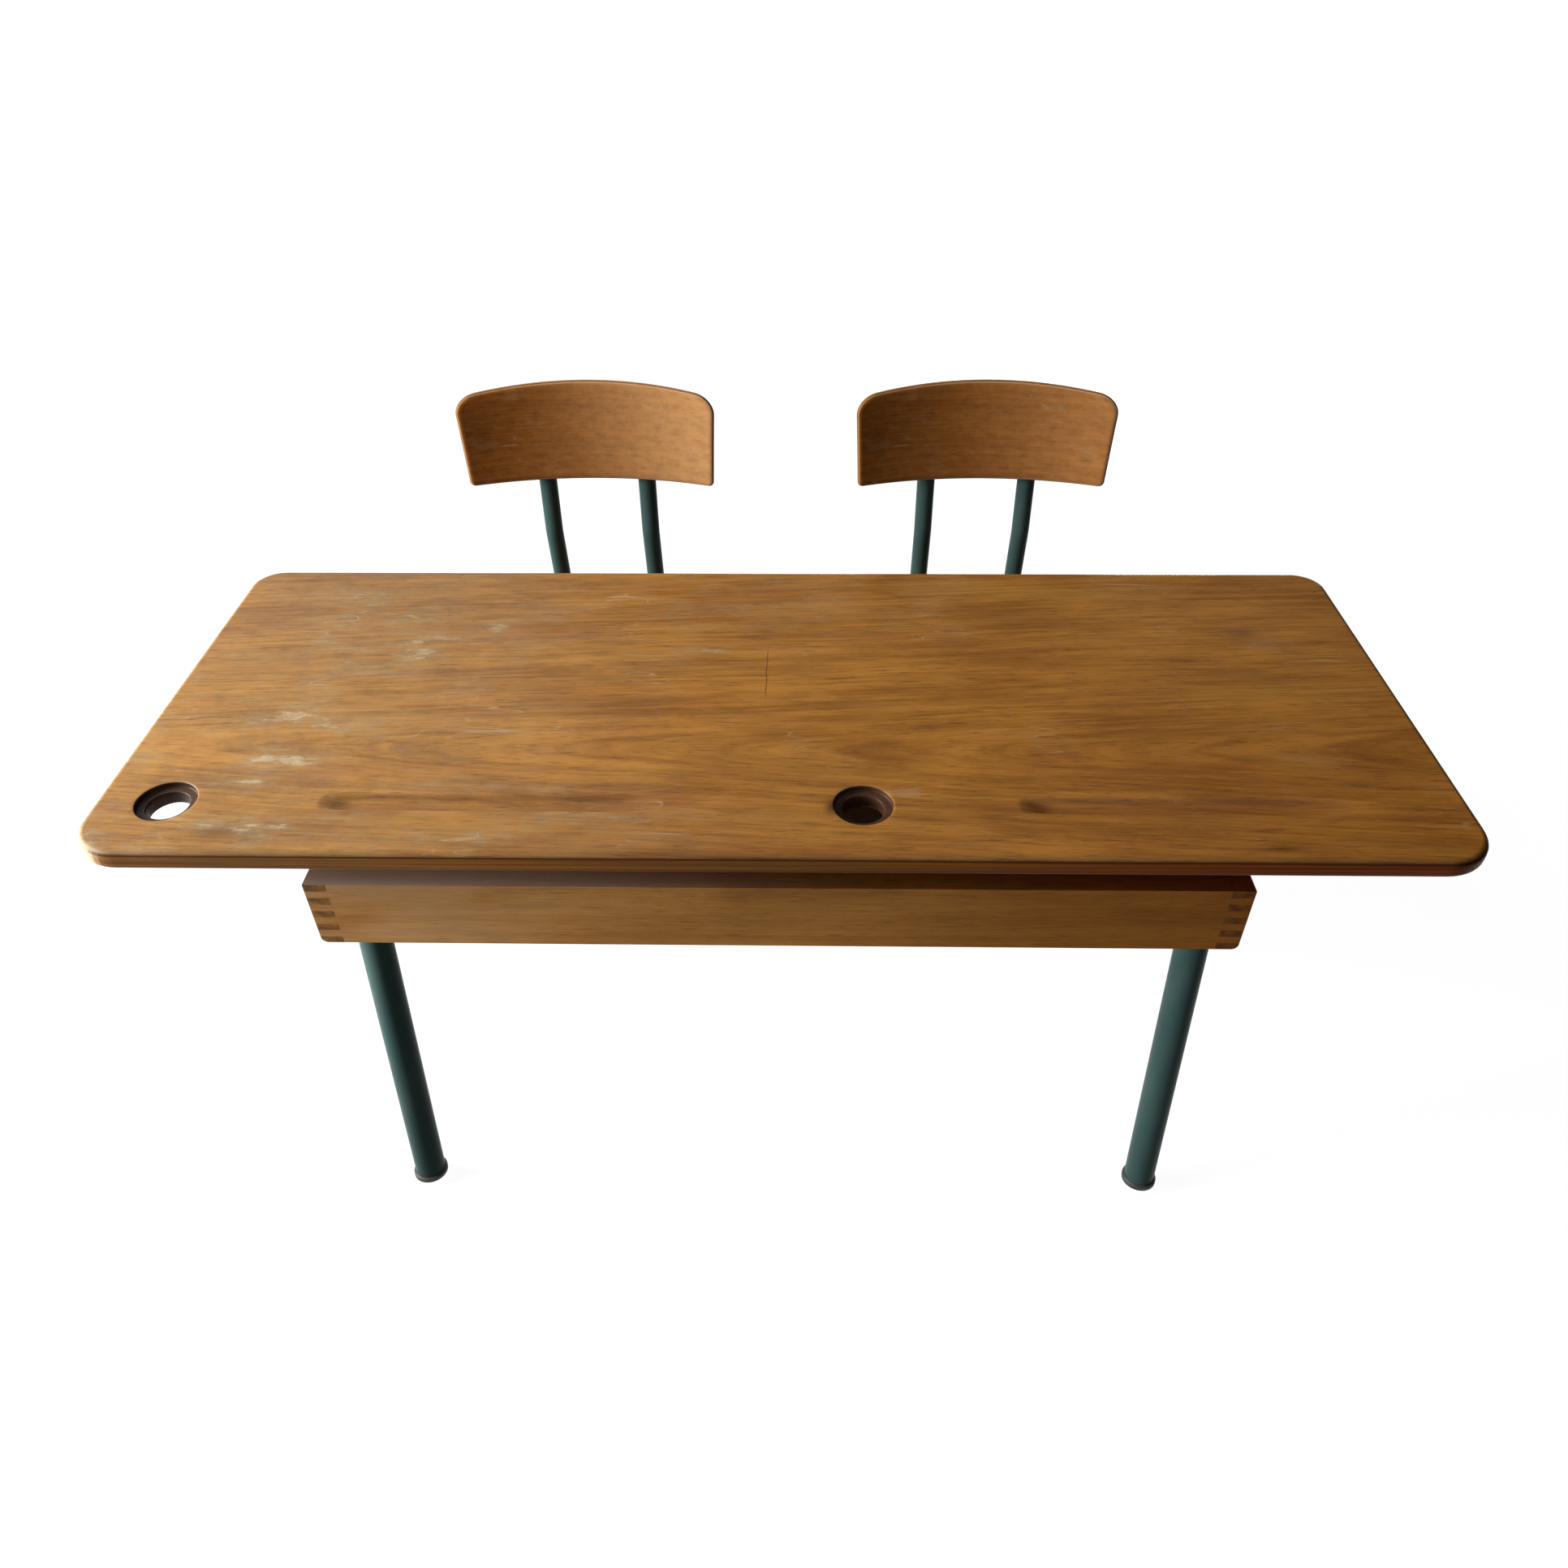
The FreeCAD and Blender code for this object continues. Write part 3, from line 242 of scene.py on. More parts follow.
def mitres(points, edges):
    """For each point the way out of the outline: n1 and n2, the normals of its two edges,
    give 2 (n1 + n2) / |n1 + n2|^2, so that moving along it by r moves both edges out by r."""
    way = points[edges[:, 1]] - points[edges[:, 0]]
    normal = np.stack([way[:, 1], -way[:, 0]], -1)
    normal /= np.linalg.norm(normal, axis=1, keepdims=True)
    total = np.zeros_like(points)
    np.add.at(total, edges[:, 0], normal)
    np.add.at(total, edges[:, 1], normal)
    return 2 * total / np.maximum((total ** 2).sum(1, keepdims=True), 1e-9)


def raised(plan, height):
    """Points of a plan at a height, or rows of them at one height a row."""
    return np.concatenate([plan, np.broadcast_to(height, plan.shape[:-1] + (1,))], -1)


def rounded_rows(sheet, edges, thick, inward, downward, steps=6):
    """Rows over a board's edge: a quarter ellipse at each face. At the angle a the outline
    is moved out by r sin a and lies s (1 - cos a) below the face, r inward and s downward."""
    turn = np.linspace(0, np.pi / 2, steps + 1)[1:]
    out = inward * np.sin(turn)
    rise = thick / 2 - downward * (1 - np.cos(turn))
    out = np.concatenate([out, out[::-1]])[:, None, None]
    rise = np.concatenate([rise, -rise[::-1]])[:, None, None]
    rim = np.unique(edges)
    return raised(sheet[rim] + out * mitres(sheet, edges)[rim], rise)


def shell(upper, lower, quads, bands):
    """Closed skin: an upper and a lower face on one sheet of quads, joined by bands.

    bands holds (edges, rows): edges of the sheet's outline and the points of the
    rows between the faces, from the upper one down (row, outline point, xyz).
    """
    points = [upper, lower]
    faces = [quads, quads[:, ::-1] + len(upper)]
    for edges, rows in bands:
        rim = np.unique(edges)
        start = sum(len(block) for block in points)
        between = start + np.arange(rows.shape[0] * len(rim)).reshape(rows.shape[0], len(rim))
        numbers = np.vstack([rim, between, rim + len(upper)])
        first, second = (numbers[:, np.searchsorted(rim, edges[:, end])] for end in (0, 1))
        faces.append(np.stack([first[:-1], first[1:], second[1:], second[:-1]], -1).reshape(-1, 4))
        points.append(rows.reshape(-1, 3))
    faces = np.concatenate(faces)
    used, renumbered = np.unique(faces, return_inverse=True)
    return np.concatenate(points)[used], renumbered.reshape(-1, 4)


def even_board(sheet, cells, thick, inward, downward):
    """Skin of a board of one thickness with rounded edges."""
    quads = cells.reshape(-1, 4)
    edges = border(quads)
    rows = rounded_rows(sheet, edges, thick, inward, downward)
    return shell(raised(sheet, thick / 2), raised(sheet, -thick / 2), quads, [(edges, rows)])


# Desk top

# Marks by kind: X, depth, half length and half width in mm, strength
MARKS = {
    "pale": (
        (-476, 403, 55, 30, 0.42), (-400, 318, 110, 60, 0.35), (-457, 186, 55, 22, 0.80),
        (-453, 130, 32, 12, 1.00), (-436, 36, 50, 10, 0.90), (-455, 98, 60, 10, 0.75),
        (-310, 350, 80, 50, 0.30), (-230, 90, 60, 8, 0.55), (-120, 52, 110, 12, 0.45),
        (-200, 26, 130, 12, 0.45), (-78, 316, 40, 9, 0.60), (493, 335, 30, 20, 0.35),
        # The pale mark at (-588, 12) on the near left corner is wear together with a painted highlight
        (479, 138, 30, 12, 0.45), (-588, 12, 20, 20, 0.65), (20, 410, 200, 70, 0.30),
    ),
    "dark": (
        (47.5, 67, 5, 10, 0.75), (420, 17, 13, 3, 0.60), (-480, 29, 30, 9, 0.35),
        # The last three dark marks darken broad patches at the far left, the front middle and the front right
        (480, 350, 20, 10, 0.45), (-480, 430, 220, 110, 0.22), (-20, 20, 260, 55, 0.14),
        (450, 40, 160, 60, 0.08),
    ),
    "red": (
        (-392, 71, 12, 10, 0.60), (-105, 72, 30, 12, 0.90), (-330, 72, 70, 9, 0.50),
        (150, 330, 120, 30, 0.35),
    ),
}


def mark_weights(points):
    """Weights of pale, dark and red at each point: sums of the marks' bells s exp(-u^2 - v^2), at most 1."""
    weights = []
    for marks in MARKS.values():
        x, depth, long, wide, strength = np.array(marks).T
        along = (points[:, :1] / MM - x) / long
        across = (points[:, 1:2] / MM - depth) / wide
        weights.append((strength * np.exp(-along ** 2 - across ** 2)).sum(1))
    return np.minimum(np.stack(weights, -1), 1)


def groove_drop(points, middle, sizes):
    """Depth of a pen groove: a smooth step of the distance to its rounded outline, over the worn wall
    from the lip inwards, times one along the run-out of its ends, which is twice as long on the right."""
    half = np.array([sizes.groove_length, sizes.groove_width]) / 2 - sizes.groove_corner
    past = np.abs(points - middle) - half
    distance = np.linalg.norm(np.maximum(past, 0), axis=-1) + np.minimum(past.max(-1), 0) - sizes.groove_corner
    step = np.clip((sizes.groove_lip - distance) / sizes.groove_wall, 0, 1)
    off = points[..., 0] - middle[0]
    inside = sizes.groove_length / 2 + sizes.groove_past - np.abs(off)
    run = np.clip(inside / np.where(off < 0, 1, 2) / sizes.groove_run, 0, 1)
    return sizes.groove_deep * step ** 2 * (3 - 2 * step) * run ** 2 * (3 - 2 * run)


def well_rows(sheet, edges, centre, half, sizes):
    """Rows of an inkwell hole: the square cut in the sheet closes to a circle, then a
    profile goes round it, over the worn rim, the rebate and the bore: a radius and a height
    a row, each with its change in mm."""
    rim = np.unique(edges)
    arm = sheet[rim] - centre
    rebate, bore = sizes.ink_rebate, sizes.ink_bore
    shelf = half - sizes.ink_step
    profile = np.array([
        (rebate, 1.4, half, 0.0), (rebate, 0.7, half, -0.15), (rebate, 0.2, half, -0.6), (rebate, 0.0, half, -1.3),
        (rebate, 0.0, shelf, 0.8), (rebate, -0.3, shelf, 0.2), (rebate, -1.0, shelf, 0.0), (bore, 1.0, shelf, 0.0),
        (bore, 0.3, shelf, -0.2), (bore, 0.0, shelf, -0.9), (bore, 0.0, 0.0, 0.0), (bore, 0.0, -half, 1.2),
        (bore, 0.4, -half, 0.3), (bore, 1.2, -half, 0.0),
    ])[:, :, None, None]
    radius, height = (profile[:, base] + profile[:, base + 1] * MM for base in (0, 2))
    plan = centre + arm / np.linalg.norm(arm, axis=1, keepdims=True) * radius
    upper, lower = (raised((sheet[rim] + plan[row]) / 2, high)[None] for row, high in ((0, half), (-1, -half)))
    return np.concatenate([upper, raised(plan, height), lower])


def top_surface(sizes):
    """Points of the top (X, depth, height from the board's middle), its faces, its veneer's
    coordinates, which lie level over the grooves, and its marks."""
    width, depth, thick = (high - low for low, high in zip(TOP_LOW, TOP_HIGH))
    half, edge = thick / 2, sizes.edge
    near, far = sizes.near_corner - edge, sizes.corner - edge
    side = width / 2 - edge
    arcs = corner_lines(edge, depth - edge, near, far, depth)
    near_arc, far_arc = arcs[:ARC_LINES], arcs[-ARC_LINES:]
    cut = sizes.ink_depth - near_arc[-2]
    grooves = [np.array([sizes.groove_first + k * sizes.pitch, sizes.groove_depth]) for k in (0, 1)]
    wells = [np.array([sizes.ink_first + k * sizes.pitch, sizes.ink_depth]) for k in (0, 1)]
    stops = [(-side, MM), (MM - side, 6 * MM)]
    for well, groove in zip(wells, grooves):
        start, end = (groove[0] + way * sizes.groove_length / 2 for way in (-1, 1))
        stops += [(well[0] - cut, 3.6 * MM), (well[0] + cut, 6 * MM), (start - 4 * MM, MM), (start + 18 * MM, 6 * MM),
                  (end - 18 * MM, MM), (end + 4 * MM, 6 * MM)]
    xs = spaced(*stops, (side - MM, MM), (side, MM))
    wall = sizes.groove_width / 2 + 3 * MM
    between = spaced((near_arc[-1], 3 * MM), (sizes.groove_depth - wall, MM), (sizes.groove_depth + wall, 3 * MM),
                     (sizes.ink_depth + cut, 6 * MM), (far_arc[0], MM))
    points, cells = lattice(xs, np.concatenate([near_arc, between[1:-1], far_arc]))
    middles = (points[:-1, :-1] + points[1:, 1:]) / 2
    keep = np.ones(cells.shape[:2], bool)
    for well in wells:
        keep &= (np.abs(middles - well) > cut).any(-1)
    quads = cells[keep]
    sheet = points.reshape(-1, 2)
    free = width / 3
    inset = corner_inset(sheet[:, 1] - edge, near) + corner_inset(depth - edge - sheet[:, 1], far)
    beyond = np.maximum(np.abs(sheet[:, 0]) - free, 0)
    sheet[:, 0] -= np.sign(sheet[:, 0]) * beyond * inset / (side - free)
    upper = raised(sheet, half)
    upper[:, 2] -= sum(groove_drop(sheet, groove, sizes) for groove in grooves)
    edges = border(quads)
    middle = sheet[edges].mean(1)
    bands = []
    outer = np.ones(len(edges), bool)
    for well in wells:
        own = np.abs(middle - well).max(1) < cut + MM
        outer &= ~own
        bands.append((edges[own], well_rows(sheet, edges[own], well, half, sizes)))
    bands.append((edges[outer], rounded_rows(sheet, edges[outer], thick, edge, edge)))
    points, faces = shell(upper, raised(sheet, -half), quads, bands)
    drop = np.where(points[:, 2] > 0, sum(groove_drop(points[:, :2], groove, sizes) for groove in grooves), 0)
    board = points + np.outer(drop, [0, 0, 1])
    sunk = drop / sizes.groove_deep
    # Grooves: the floor darker and redder, the walls darker
    marks = mark_weights(points) + np.outer(sunk, [0, 0.17, 0.7]) + np.outer(sunk * (1 - sunk), [0, 0.6, 0])
    marks = np.minimum(marks, 1)
    for well in wells:
        inside = np.linalg.norm(points[:, :2] - well, axis=1) < sizes.ink_rebate + 0.3 * MM
        marks[inside, list(MARKS).index("dark")] = 1
    return points, faces, board, marks


# Chair boards

def backrest_surface(sizes):
    """Backrest in board coordinates (X, height, thickness): rows of half width w(v), each point
    at the height v times the arch's height over it. The arch is a circle through the shoulders."""
    edge, high = sizes.back_edge, sizes.back_height
    half, foot = sizes.back_width / 2, sizes.back_foot / 2
    arch = (half ** 2 + sizes.back_arch ** 2) / (2 * sizes.back_arch)
    toe, corner = sizes.back_toe - edge, sizes.back_corner - edge
    points, cells = lattice(width_lines(61), corner_lines(edge, high - edge, toe, corner, 6 * MM))
    u, v = points.reshape(-1, 2).T
    taper = foot + (half - foot) * np.minimum(v / (high - sizes.back_arch), 1)
    x = u * (taper - edge - corner_inset(v - edge, toe) - corner_inset(high - edge - v, corner))
    fall = (arch - np.sqrt(arch ** 2 - x ** 2)) * v / (high - edge)
    y = edge + (v - edge) * (high - 2 * edge - fall) / (high - 2 * edge)
    return even_board(np.stack([x, y], -1), cells, sizes.back_thick, edge, sizes.back_round)


def bend_backrest(points, foot, sizes):
    """Board coordinates bent to the cylinder Y = sqrt((R + t / 2 - h)^2 - X^2) - R, leant back, set on its foot."""
    x, height, thick = points.T
    radius = sizes.back_curve + sizes.back_thick / 2 - thick
    y = np.sqrt(radius ** 2 - x ** 2) - sizes.back_curve
    sine, cosine = math.sin(sizes.back_tilt), math.cos(sizes.back_tilt)
    return np.stack([x, y * cosine + height * sine, height * cosine - y * sine], -1) + foot


def seat_surface(depth, thick, sizes):
    """Seat in board coordinates (X, depth, height): rows of half width w(v) with round corners."""
    edge = sizes.seat_edge
    corner = sizes.seat_corner - edge
    points, cells = lattice(width_lines(47), corner_lines(edge, depth - edge, corner, corner, 8 * MM))
    u, v = points.reshape(-1, 2).T
    taper = (sizes.seat_front + (sizes.seat_rear - sizes.seat_front) * v / depth) / 2 - edge
    inset = corner_inset(v - edge, corner) + corner_inset(depth - edge - v, corner)
    return even_board(np.stack([u * (taper - inset), v], -1), cells, thick, edge, edge)


# Weld beads

def weld_ring(spot, branch, main, branch_radius, main_radius, bead, rise=0.0, ceiling=1.0):
    """Bead round the joint where a tube along branch meets one along main, whose axis goes through spot.

    A line of the branch's skin, c + t d with c its place round the axis, meets the main tube where its part
    across the main axis is as long as that tube's radius: t = (sqrt((D.C)^2 - D.D (C.C - R^2)) - D.C) / D.D,
    C and D being c and d without their parts along the main axis. The bead is a rippled circle carried along
    these points, thinner where it would go through the ceiling. rise lifts the branch's axis over the spot.
    """
    branch, main = (np.array(way) / np.linalg.norm(way) for way in (branch, main))
    across = np.cross(branch, main)
    across /= np.linalg.norm(across)
    turn = np.linspace(0, 2 * np.pi, RING_STEPS, endpoint=False)[:, None]
    round_way = across * np.cos(turn) + np.cross(branch, across) * np.sin(turn)
    skin = np.array([0.0, 0.0, rise]) + branch_radius * round_way
    far_skin = skin - (skin @ main)[:, None] * main
    far_way = branch - (branch @ main) * main
    square, mixed = far_way @ far_way, far_skin @ far_way
    root = np.maximum(mixed ** 2 - square * ((far_skin ** 2).sum(1) - main_radius ** 2), 0)
    seam = spot + skin + ((np.sqrt(root) - mixed) / square)[:, None] * branch
    size = bead * (1 + 0.14 * np.sin(19 * turn)) * (1 + 0.10 * np.sin(5 * turn + 1))
    size = np.clip(ceiling - seam[:, 2:], bead / 20, size)[:, None]
    section = np.linspace(0, 2 * np.pi, SECTION_STEPS, endpoint=False)[:, None]
    points = seam[:, None] + size * (np.cos(section) * round_way[:, None] + np.sin(section) * branch)
    index = np.arange(points[..., 0].size).reshape(points.shape[:2])
    around, along = np.roll(index, -1, 0), np.roll(index, -1, 1)
    quads = np.stack([index, around, np.roll(around, -1, 1), along], -1)
    return points.reshape(-1, 3), quads.reshape(-1, 4)


def joined(rings):
    """One set of points and faces from several."""
    starts = np.cumsum([0] + [len(points) for points, _ in rings[:-1]])
    return (np.concatenate([points for points, _ in rings]),
            np.concatenate([faces + start for (_, faces), start in zip(rings, starts)]))


def tube_axis(name):
    """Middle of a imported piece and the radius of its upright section."""
    low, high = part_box(name)
    return (np.array(low) + np.array(high)) / 2, (high.z - low.z) / 2


def desk_welds(sizes):
    """Beads where the two cross tubes meet the rails of the leg frames, kept below the top."""
    low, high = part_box("left_leg_frame")
    radius = (high.x - low.x) / 2
    rail = high.z - radius
    rings = []
    for name in ("front_cross_tube", "rear_cross_tube"):
        middle, branch_radius = tube_axis(name)
        for side in (-1, 1):
            spot = np.array([side * sizes.leg_half, middle[1], rail])
            rings.append(weld_ring(spot, (-side, 0, 0), (0, 1, 0), branch_radius, radius, sizes.bead,
                                   middle[2] - rail, TOP_LOW.z - sizes.clear))
    return joined(rings)


def chair_welds(chair, sizes):
    """Beads of a chair: seat rails on the rear tubes, front bar on the rails, rear bar on the rear tubes."""
    front, bar = tube_axis(chair + "_front_bar")
    rear, _ = tube_axis(chair + "_rear_bar")
    tube = sizes.tube / 2
    upward = (0, -math.sin(sizes.rear_lean), math.cos(sizes.rear_lean))
    seat_joint = rear[1] - (front[2] - rear[2]) * math.tan(sizes.rear_lean)
    rings = []
    for side in (-1, 1):
        inward = (-side, 0, 0)
        rail = np.array([-side * math.sin(sizes.rail_turn), math.cos(sizes.rail_turn), 0])
        at_rail = np.array([front[0] + side * sizes.rail_half, front[1], front[2]])
        at_rear = np.array([front[0] + side * sizes.rear_half, rear[1], rear[2]])
        at_seat = np.array([front[0] + side * sizes.rear_half, seat_joint, front[2]])
        rings += [weld_ring(at_seat, -rail, upward, tube, tube, sizes.bead),
                  weld_ring(at_rail, inward, rail, bar, tube, sizes.bead),
                  weld_ring(at_rear, inward, upward, bar, tube, sizes.bead)]
    return joined(rings)


# Materials

class Paint:
    """Nodes of a material or a world. Each method adds nodes and gives their output, but for
    lay, stain and darken, which go over the colour so far by the product of their shares.
    A share is an output, a number, or (value, start, end) for a smooth step."""

    def __init__(self, owner):
        owner.use_nodes = True
        self.owner = owner
        self.nodes = owner.node_tree.nodes
        self.links = owner.node_tree.links
        self.colour = None

    def feed(self, socket, value):
        """Link an output to a socket, or set a constant on it."""
        if isinstance(value, bpy.types.NodeSocket):
            self.links.new(value, socket)
        elif socket.type == "RGBA" and len(value) == 3:
            socket.default_value = (*value, 1)
        else:
            socket.default_value = value

    def fill(self, node, **sockets):
        """Feed sockets by their names, with _ for a space."""
        for name, value in sockets.items():
            self.feed(node.inputs[name.replace("_", " ")], value)
        return node.outputs[0]

    def node(self, kind, *values, **settings):
        made = self.nodes.new("ShaderNode" + kind)
        for name, value in settings.items():
            setattr(made, name, value)
        for socket, value in zip(made.inputs, values):
            self.feed(socket, value)
        return made

    def math(self, operation, *values):
        return self.node("Math", *values, operation=operation).outputs[0]

    def times(self, *shares):
        first, *others = (self.step(*part) if isinstance(part, tuple) else part for part in shares)
        for other in others:
            first = self.math("MULTIPLY", first, other)
        return first

    def plus(self, total, *pairs):
        """The total and each value times its share, given in turn."""
        for value, part in zip(pairs[::2], pairs[1::2]):
            total = self.math("MULTIPLY_ADD", value, part, total)
        return total

    def step(self, value, start, end):
        """Smooth step from 0 at start to 1 at end, which may lie below start."""
        if start > end:
            return self.math("SUBTRACT", 1.0, self.step(value, end, start))
        return self.node("MapRange", value, start, end, interpolation_type="SMOOTHSTEP").outputs[0]

    def band(self, value, middle, half, soft):
        """1 where value is within half of middle, fading out over soft."""
        away = self.math("ABSOLUTE", self.math("SUBTRACT", value, middle))
        return self.step(away, half + soft, half)

    def layer(self, name):
        """Named point attribute."""
        return self.node("Attribute", attribute_name=name).outputs["Vector"]

    def here(self):
        return self.node("TexCoord").outputs["Object"]

    def facing(self):
        return self.split(self.node("NewGeometry").outputs["True Normal"])

    def split(self, vector):
        return self.node("SeparateXYZ", vector).outputs

    def join(self, x, y, z):
        return self.node("CombineXYZ", x, y, z).outputs[0]

    def noise(self, vector, scale, detail=2.0, roughness=0.5):
        """Noise with its own scale along each axis."""
        stretched = self.node("VectorMath", vector, scale, operation="MULTIPLY").outputs[0]
        return self.fill(self.node("TexNoise", stretched), Scale=1.0, Detail=detail, Roughness=roughness)

    def mix(self, part, first, second, kind="MIX"):
        made = self.node("Mix", self.times(part), data_type="RGBA", blend_type=kind)
        self.feed(made.inputs[6], first)
        self.feed(made.inputs[7], second)
        return made.outputs[2]

    def lay(self, over, *shares):
        """Another colour over the colour so far."""
        self.colour = self.mix(self.times(*shares), self.colour, over)

    def stain(self, tint, *shares):
        """The colour so far times a tint."""
        self.colour = self.mix(self.times(*shares), self.colour, tint, "MULTIPLY")

    def darken(self, low, *shares):
        """The colour so far down to a share of itself."""
        self.stain((low, low, low), *shares)

    def finish(self, height, strength, distance, **sockets):
        """Material with the colour so far, a relief and the shader's other sockets."""
        relief = self.fill(self.node("Bump"), Height=height, Strength=strength, Distance=distance)
        self.fill(self.nodes["Principled BSDF"], Base_Color=self.colour, Normal=relief, **sockets)
        return self.owner

    def choose(self, unseen, seen, output):
        """One shader for what the camera sees straight, in a reflection or through glass, another for other rays."""
        path = self.node("LightPath").outputs
        straight = self.math("MAXIMUM", path["Is Camera Ray"], path["Is Glossy Ray"])
        chosen = self.node("MixShader", self.math("MAXIMUM", straight, path["Is Transmission Ray"]), unseen, seen)
        self.links.new(chosen.outputs[0], self.nodes[output].inputs["Surface"])
        return self.owner


def new_paint(name):
    """Paint for a new material."""
    return Paint(bpy.data.materials.new(name))


def grain(coat, place, light, dark, pore, figure=None, fine=1.0):
    """Colour a wood at a place whose X runs along the grain, and give its height.

    Growth bands follow the distance to the stem's axis, sqrt((y - a)^2 + b^2) - c x,
    for a figure (a, b, c), and lie straight along X without one.
    """
    x, y, z = coat.split(place)
    bent = coat.plus(y, coat.noise(place, (2.2, 9.0, 9.0)), 0.024)
    if figure:
        axis, depth, taper = figure
        off = coat.math("SUBTRACT", bent, axis)
        bent = coat.plus(coat.math("SQRT", coat.plus(depth ** 2, off, off)), x, -taper)
    along = coat.join(x, bent, z)
    bands = coat.noise(along, (1.4, 95.0 * fine, 40.0), 3.0, 0.6)
    streaks = coat.noise(along, (11.0, 300.0 * fine, 300.0), 4.0, 0.7)
    flecks = coat.noise(place, (45.0, 620.0 * fine, 620.0), 2.0, 0.6)
    clouds = coat.noise(place, (7.0, 20.0, 20.0), 5.0, 0.62)
    tone = coat.plus(0.0, bands, 0.45, streaks, 0.65, clouds, 0.65)
    coat.colour = coat.mix((tone, 0.65, 1.10), dark, light)
    pores = coat.step(flecks, 0.54, 0.70)
    coat.lay(pore, pores, 0.5)
    return coat.plus(streaks, pores, -0.7)


def scratches(coat, place, turn, scale, width):
    """Thin broken lines: where a slow noise, seen across a turned place, passes its middle value."""
    turned = coat.node("Mapping", place, (0, 0, 0), (0, 0, turn), scale).outputs[0]
    line = coat.band(coat.noise(turned, (1.0, 1.0, 1.0), 1.0), 0.5, 0.0, width)
    return coat.times(line, (coat.noise(place, (9.0, 9.0, 9.0)), 0.52, 0.68))


def top_paint(tones):
    """Varnished veneer of the top: flame figure, pores, worn and scratched patches, plies on the edge."""
    coat = new_paint("worn_top_veneer")
    place = coat.layer("board")
    x, y, h = coat.split(place)
    pale, dark, red = coat.split(coat.layer("marks"))
    height = grain(coat, place, tones.top_light, tones.top_dark, tones.top_pore, figure=(0.16, 0.035, 0.06))

    # Varnish worn thin, most of all on the left, which is also mottled there, and paler and bluer as a painted sheen
    # on the side towards the window
    blotch = coat.noise(place, (14.0, 34.0, 1.0), 5.0, 0.65)
    threads = coat.noise(place, (42.0, 120.0, 1.0), 5.0, 0.75)
    rubbed = coat.times((x, 0.05, -0.45), (blotch, 0.42, 0.75))
    worn = coat.plus(coat.times(pale, (blotch, 0.34, 0.60), 1.1), rubbed, 0.55)
    worn = coat.math("MINIMUM", coat.times(worn, (threads, 0.30, 0.64)), 0.8)
    coat.lay(coat.mix((worn, 0.40, 0.80), tones.top_film, tones.top_worn), worn)
    mottle = coat.noise(place, (48.0, 80.0, 1.0), 5.0, 0.7)
    window_side = coat.step(x, -0.08, -0.45)
    coat.darken(0.82, (mottle, 0.44, 0.66), window_side)
    # Painted sheen: paler and bluer on the side towards the window
    coat.stain((0.97, 1.06, 1.10), window_side)

    # Clouds, red stains, scratches, one cut across the grain, ink and dirt
    hue = coat.noise(place, (3.0, 13.0, 1.0), 3.0)
    coat.lay(tones.top_gold, (hue, 0.50, 0.72), 0.30)
    coat.lay(tones.top_brown, (hue, 0.46, 0.28), 0.30)
    smear = coat.noise(place, (5.0, 60.0, 1.0), 3.0)
    coat.lay(tones.top_stain, red, (smear, 0.35, 0.65), 0.6)
    lines = coat.math("MAXIMUM", scratches(coat, place, 0.25, (5.0, 70.0, 1.0), 0.010),
                       scratches(coat, place, -0.5, (7.0, 55.0, 1.0), 0.008))
    coat.lay(tones.top_worn, lines, 0.45)
    wobble = coat.plus(x, coat.noise(place, (2.0, 45.0, 1.0)), 0.004)
    coat.lay(tones.top_pore, coat.band(wobble, -0.0125, 0.0002, 0.0007),
              (y, 0.222, 0.245), (y, 0.330, 0.30), 0.7)
    # Ink colour over ink, dirt, the broad dark patches and the grooves' darkening from the marks
    darkened = coat.math("MINIMUM", coat.times(dark, (smear, -0.2, 0.5)), 0.93)
    coat.lay(tones.ink, darkened)

    # Edge: darker near the front edge, painted shade on the rounding in front, plies and glue lines below it with the
    # plies' dark colour partly painted shade, and pale wood with painted light on the faces turned to the window on
    # the left
    edge = coat.times((h, -0.0088, -0.0084), (dark, 0.9, 0.5))
    # Darker near the front edge, and painted shade on the rounding in front
    coat.darken(0.70, (y, 0.011, 0.003))
    roll = coat.times((h, 0.00895, 0.0066), edge, (y, 0.040, 0.020))
    coat.darken(0.55, roll)
    below = coat.times((h, 0.0068, 0.0060), edge)
    # Plies below the rounding, their dark colour partly painted shade
    plies = (coat.noise(place, (3.0, 3.0, 620.0)), 0.40, 0.62)
    coat.lay(coat.mix(plies, tones.top_shaded_core, tones.top_dark), below, 0.85)
    for line, strength in ((0.0064, 0.9), (-0.0045, 0.6)):
        coat.lay(tones.top_glue, coat.band(h, line, 0.0004, 0.0006), edge, strength)
    # Pale wood and painted light on the edge's faces turned to the window
    coat.lay(tones.top_bare_lit_edge, (coat.facing()["X"], -0.18, -0.62), (h, 0.0086, 0.0070), edge, 0.8)

    # Painted shade: deeper and redder on the right, away from the window, on the top and its edge; painted light:
    # edge paler on the left
    coat.stain((0.94, 0.87, 0.64), (x, -0.10, 0.50), (y, 0.45, 0.05))
    coat.stain((1.06, 0.66, 0.66), below, (x, 0.02, 0.42))
    coat.stain((1.20, 1.22, 1.22), below, window_side)
    gloss = coat.plus(0.36, darkened, -0.24, coat.math("MAXIMUM", below, roll), -0.31)
    return coat.finish(coat.plus(height, lines, -0.8), 0.22, 0.0006, Specular_IOR_Level=gloss,
                        Roughness=coat.plus(0.32, blotch, 0.16, worn, 0.22))


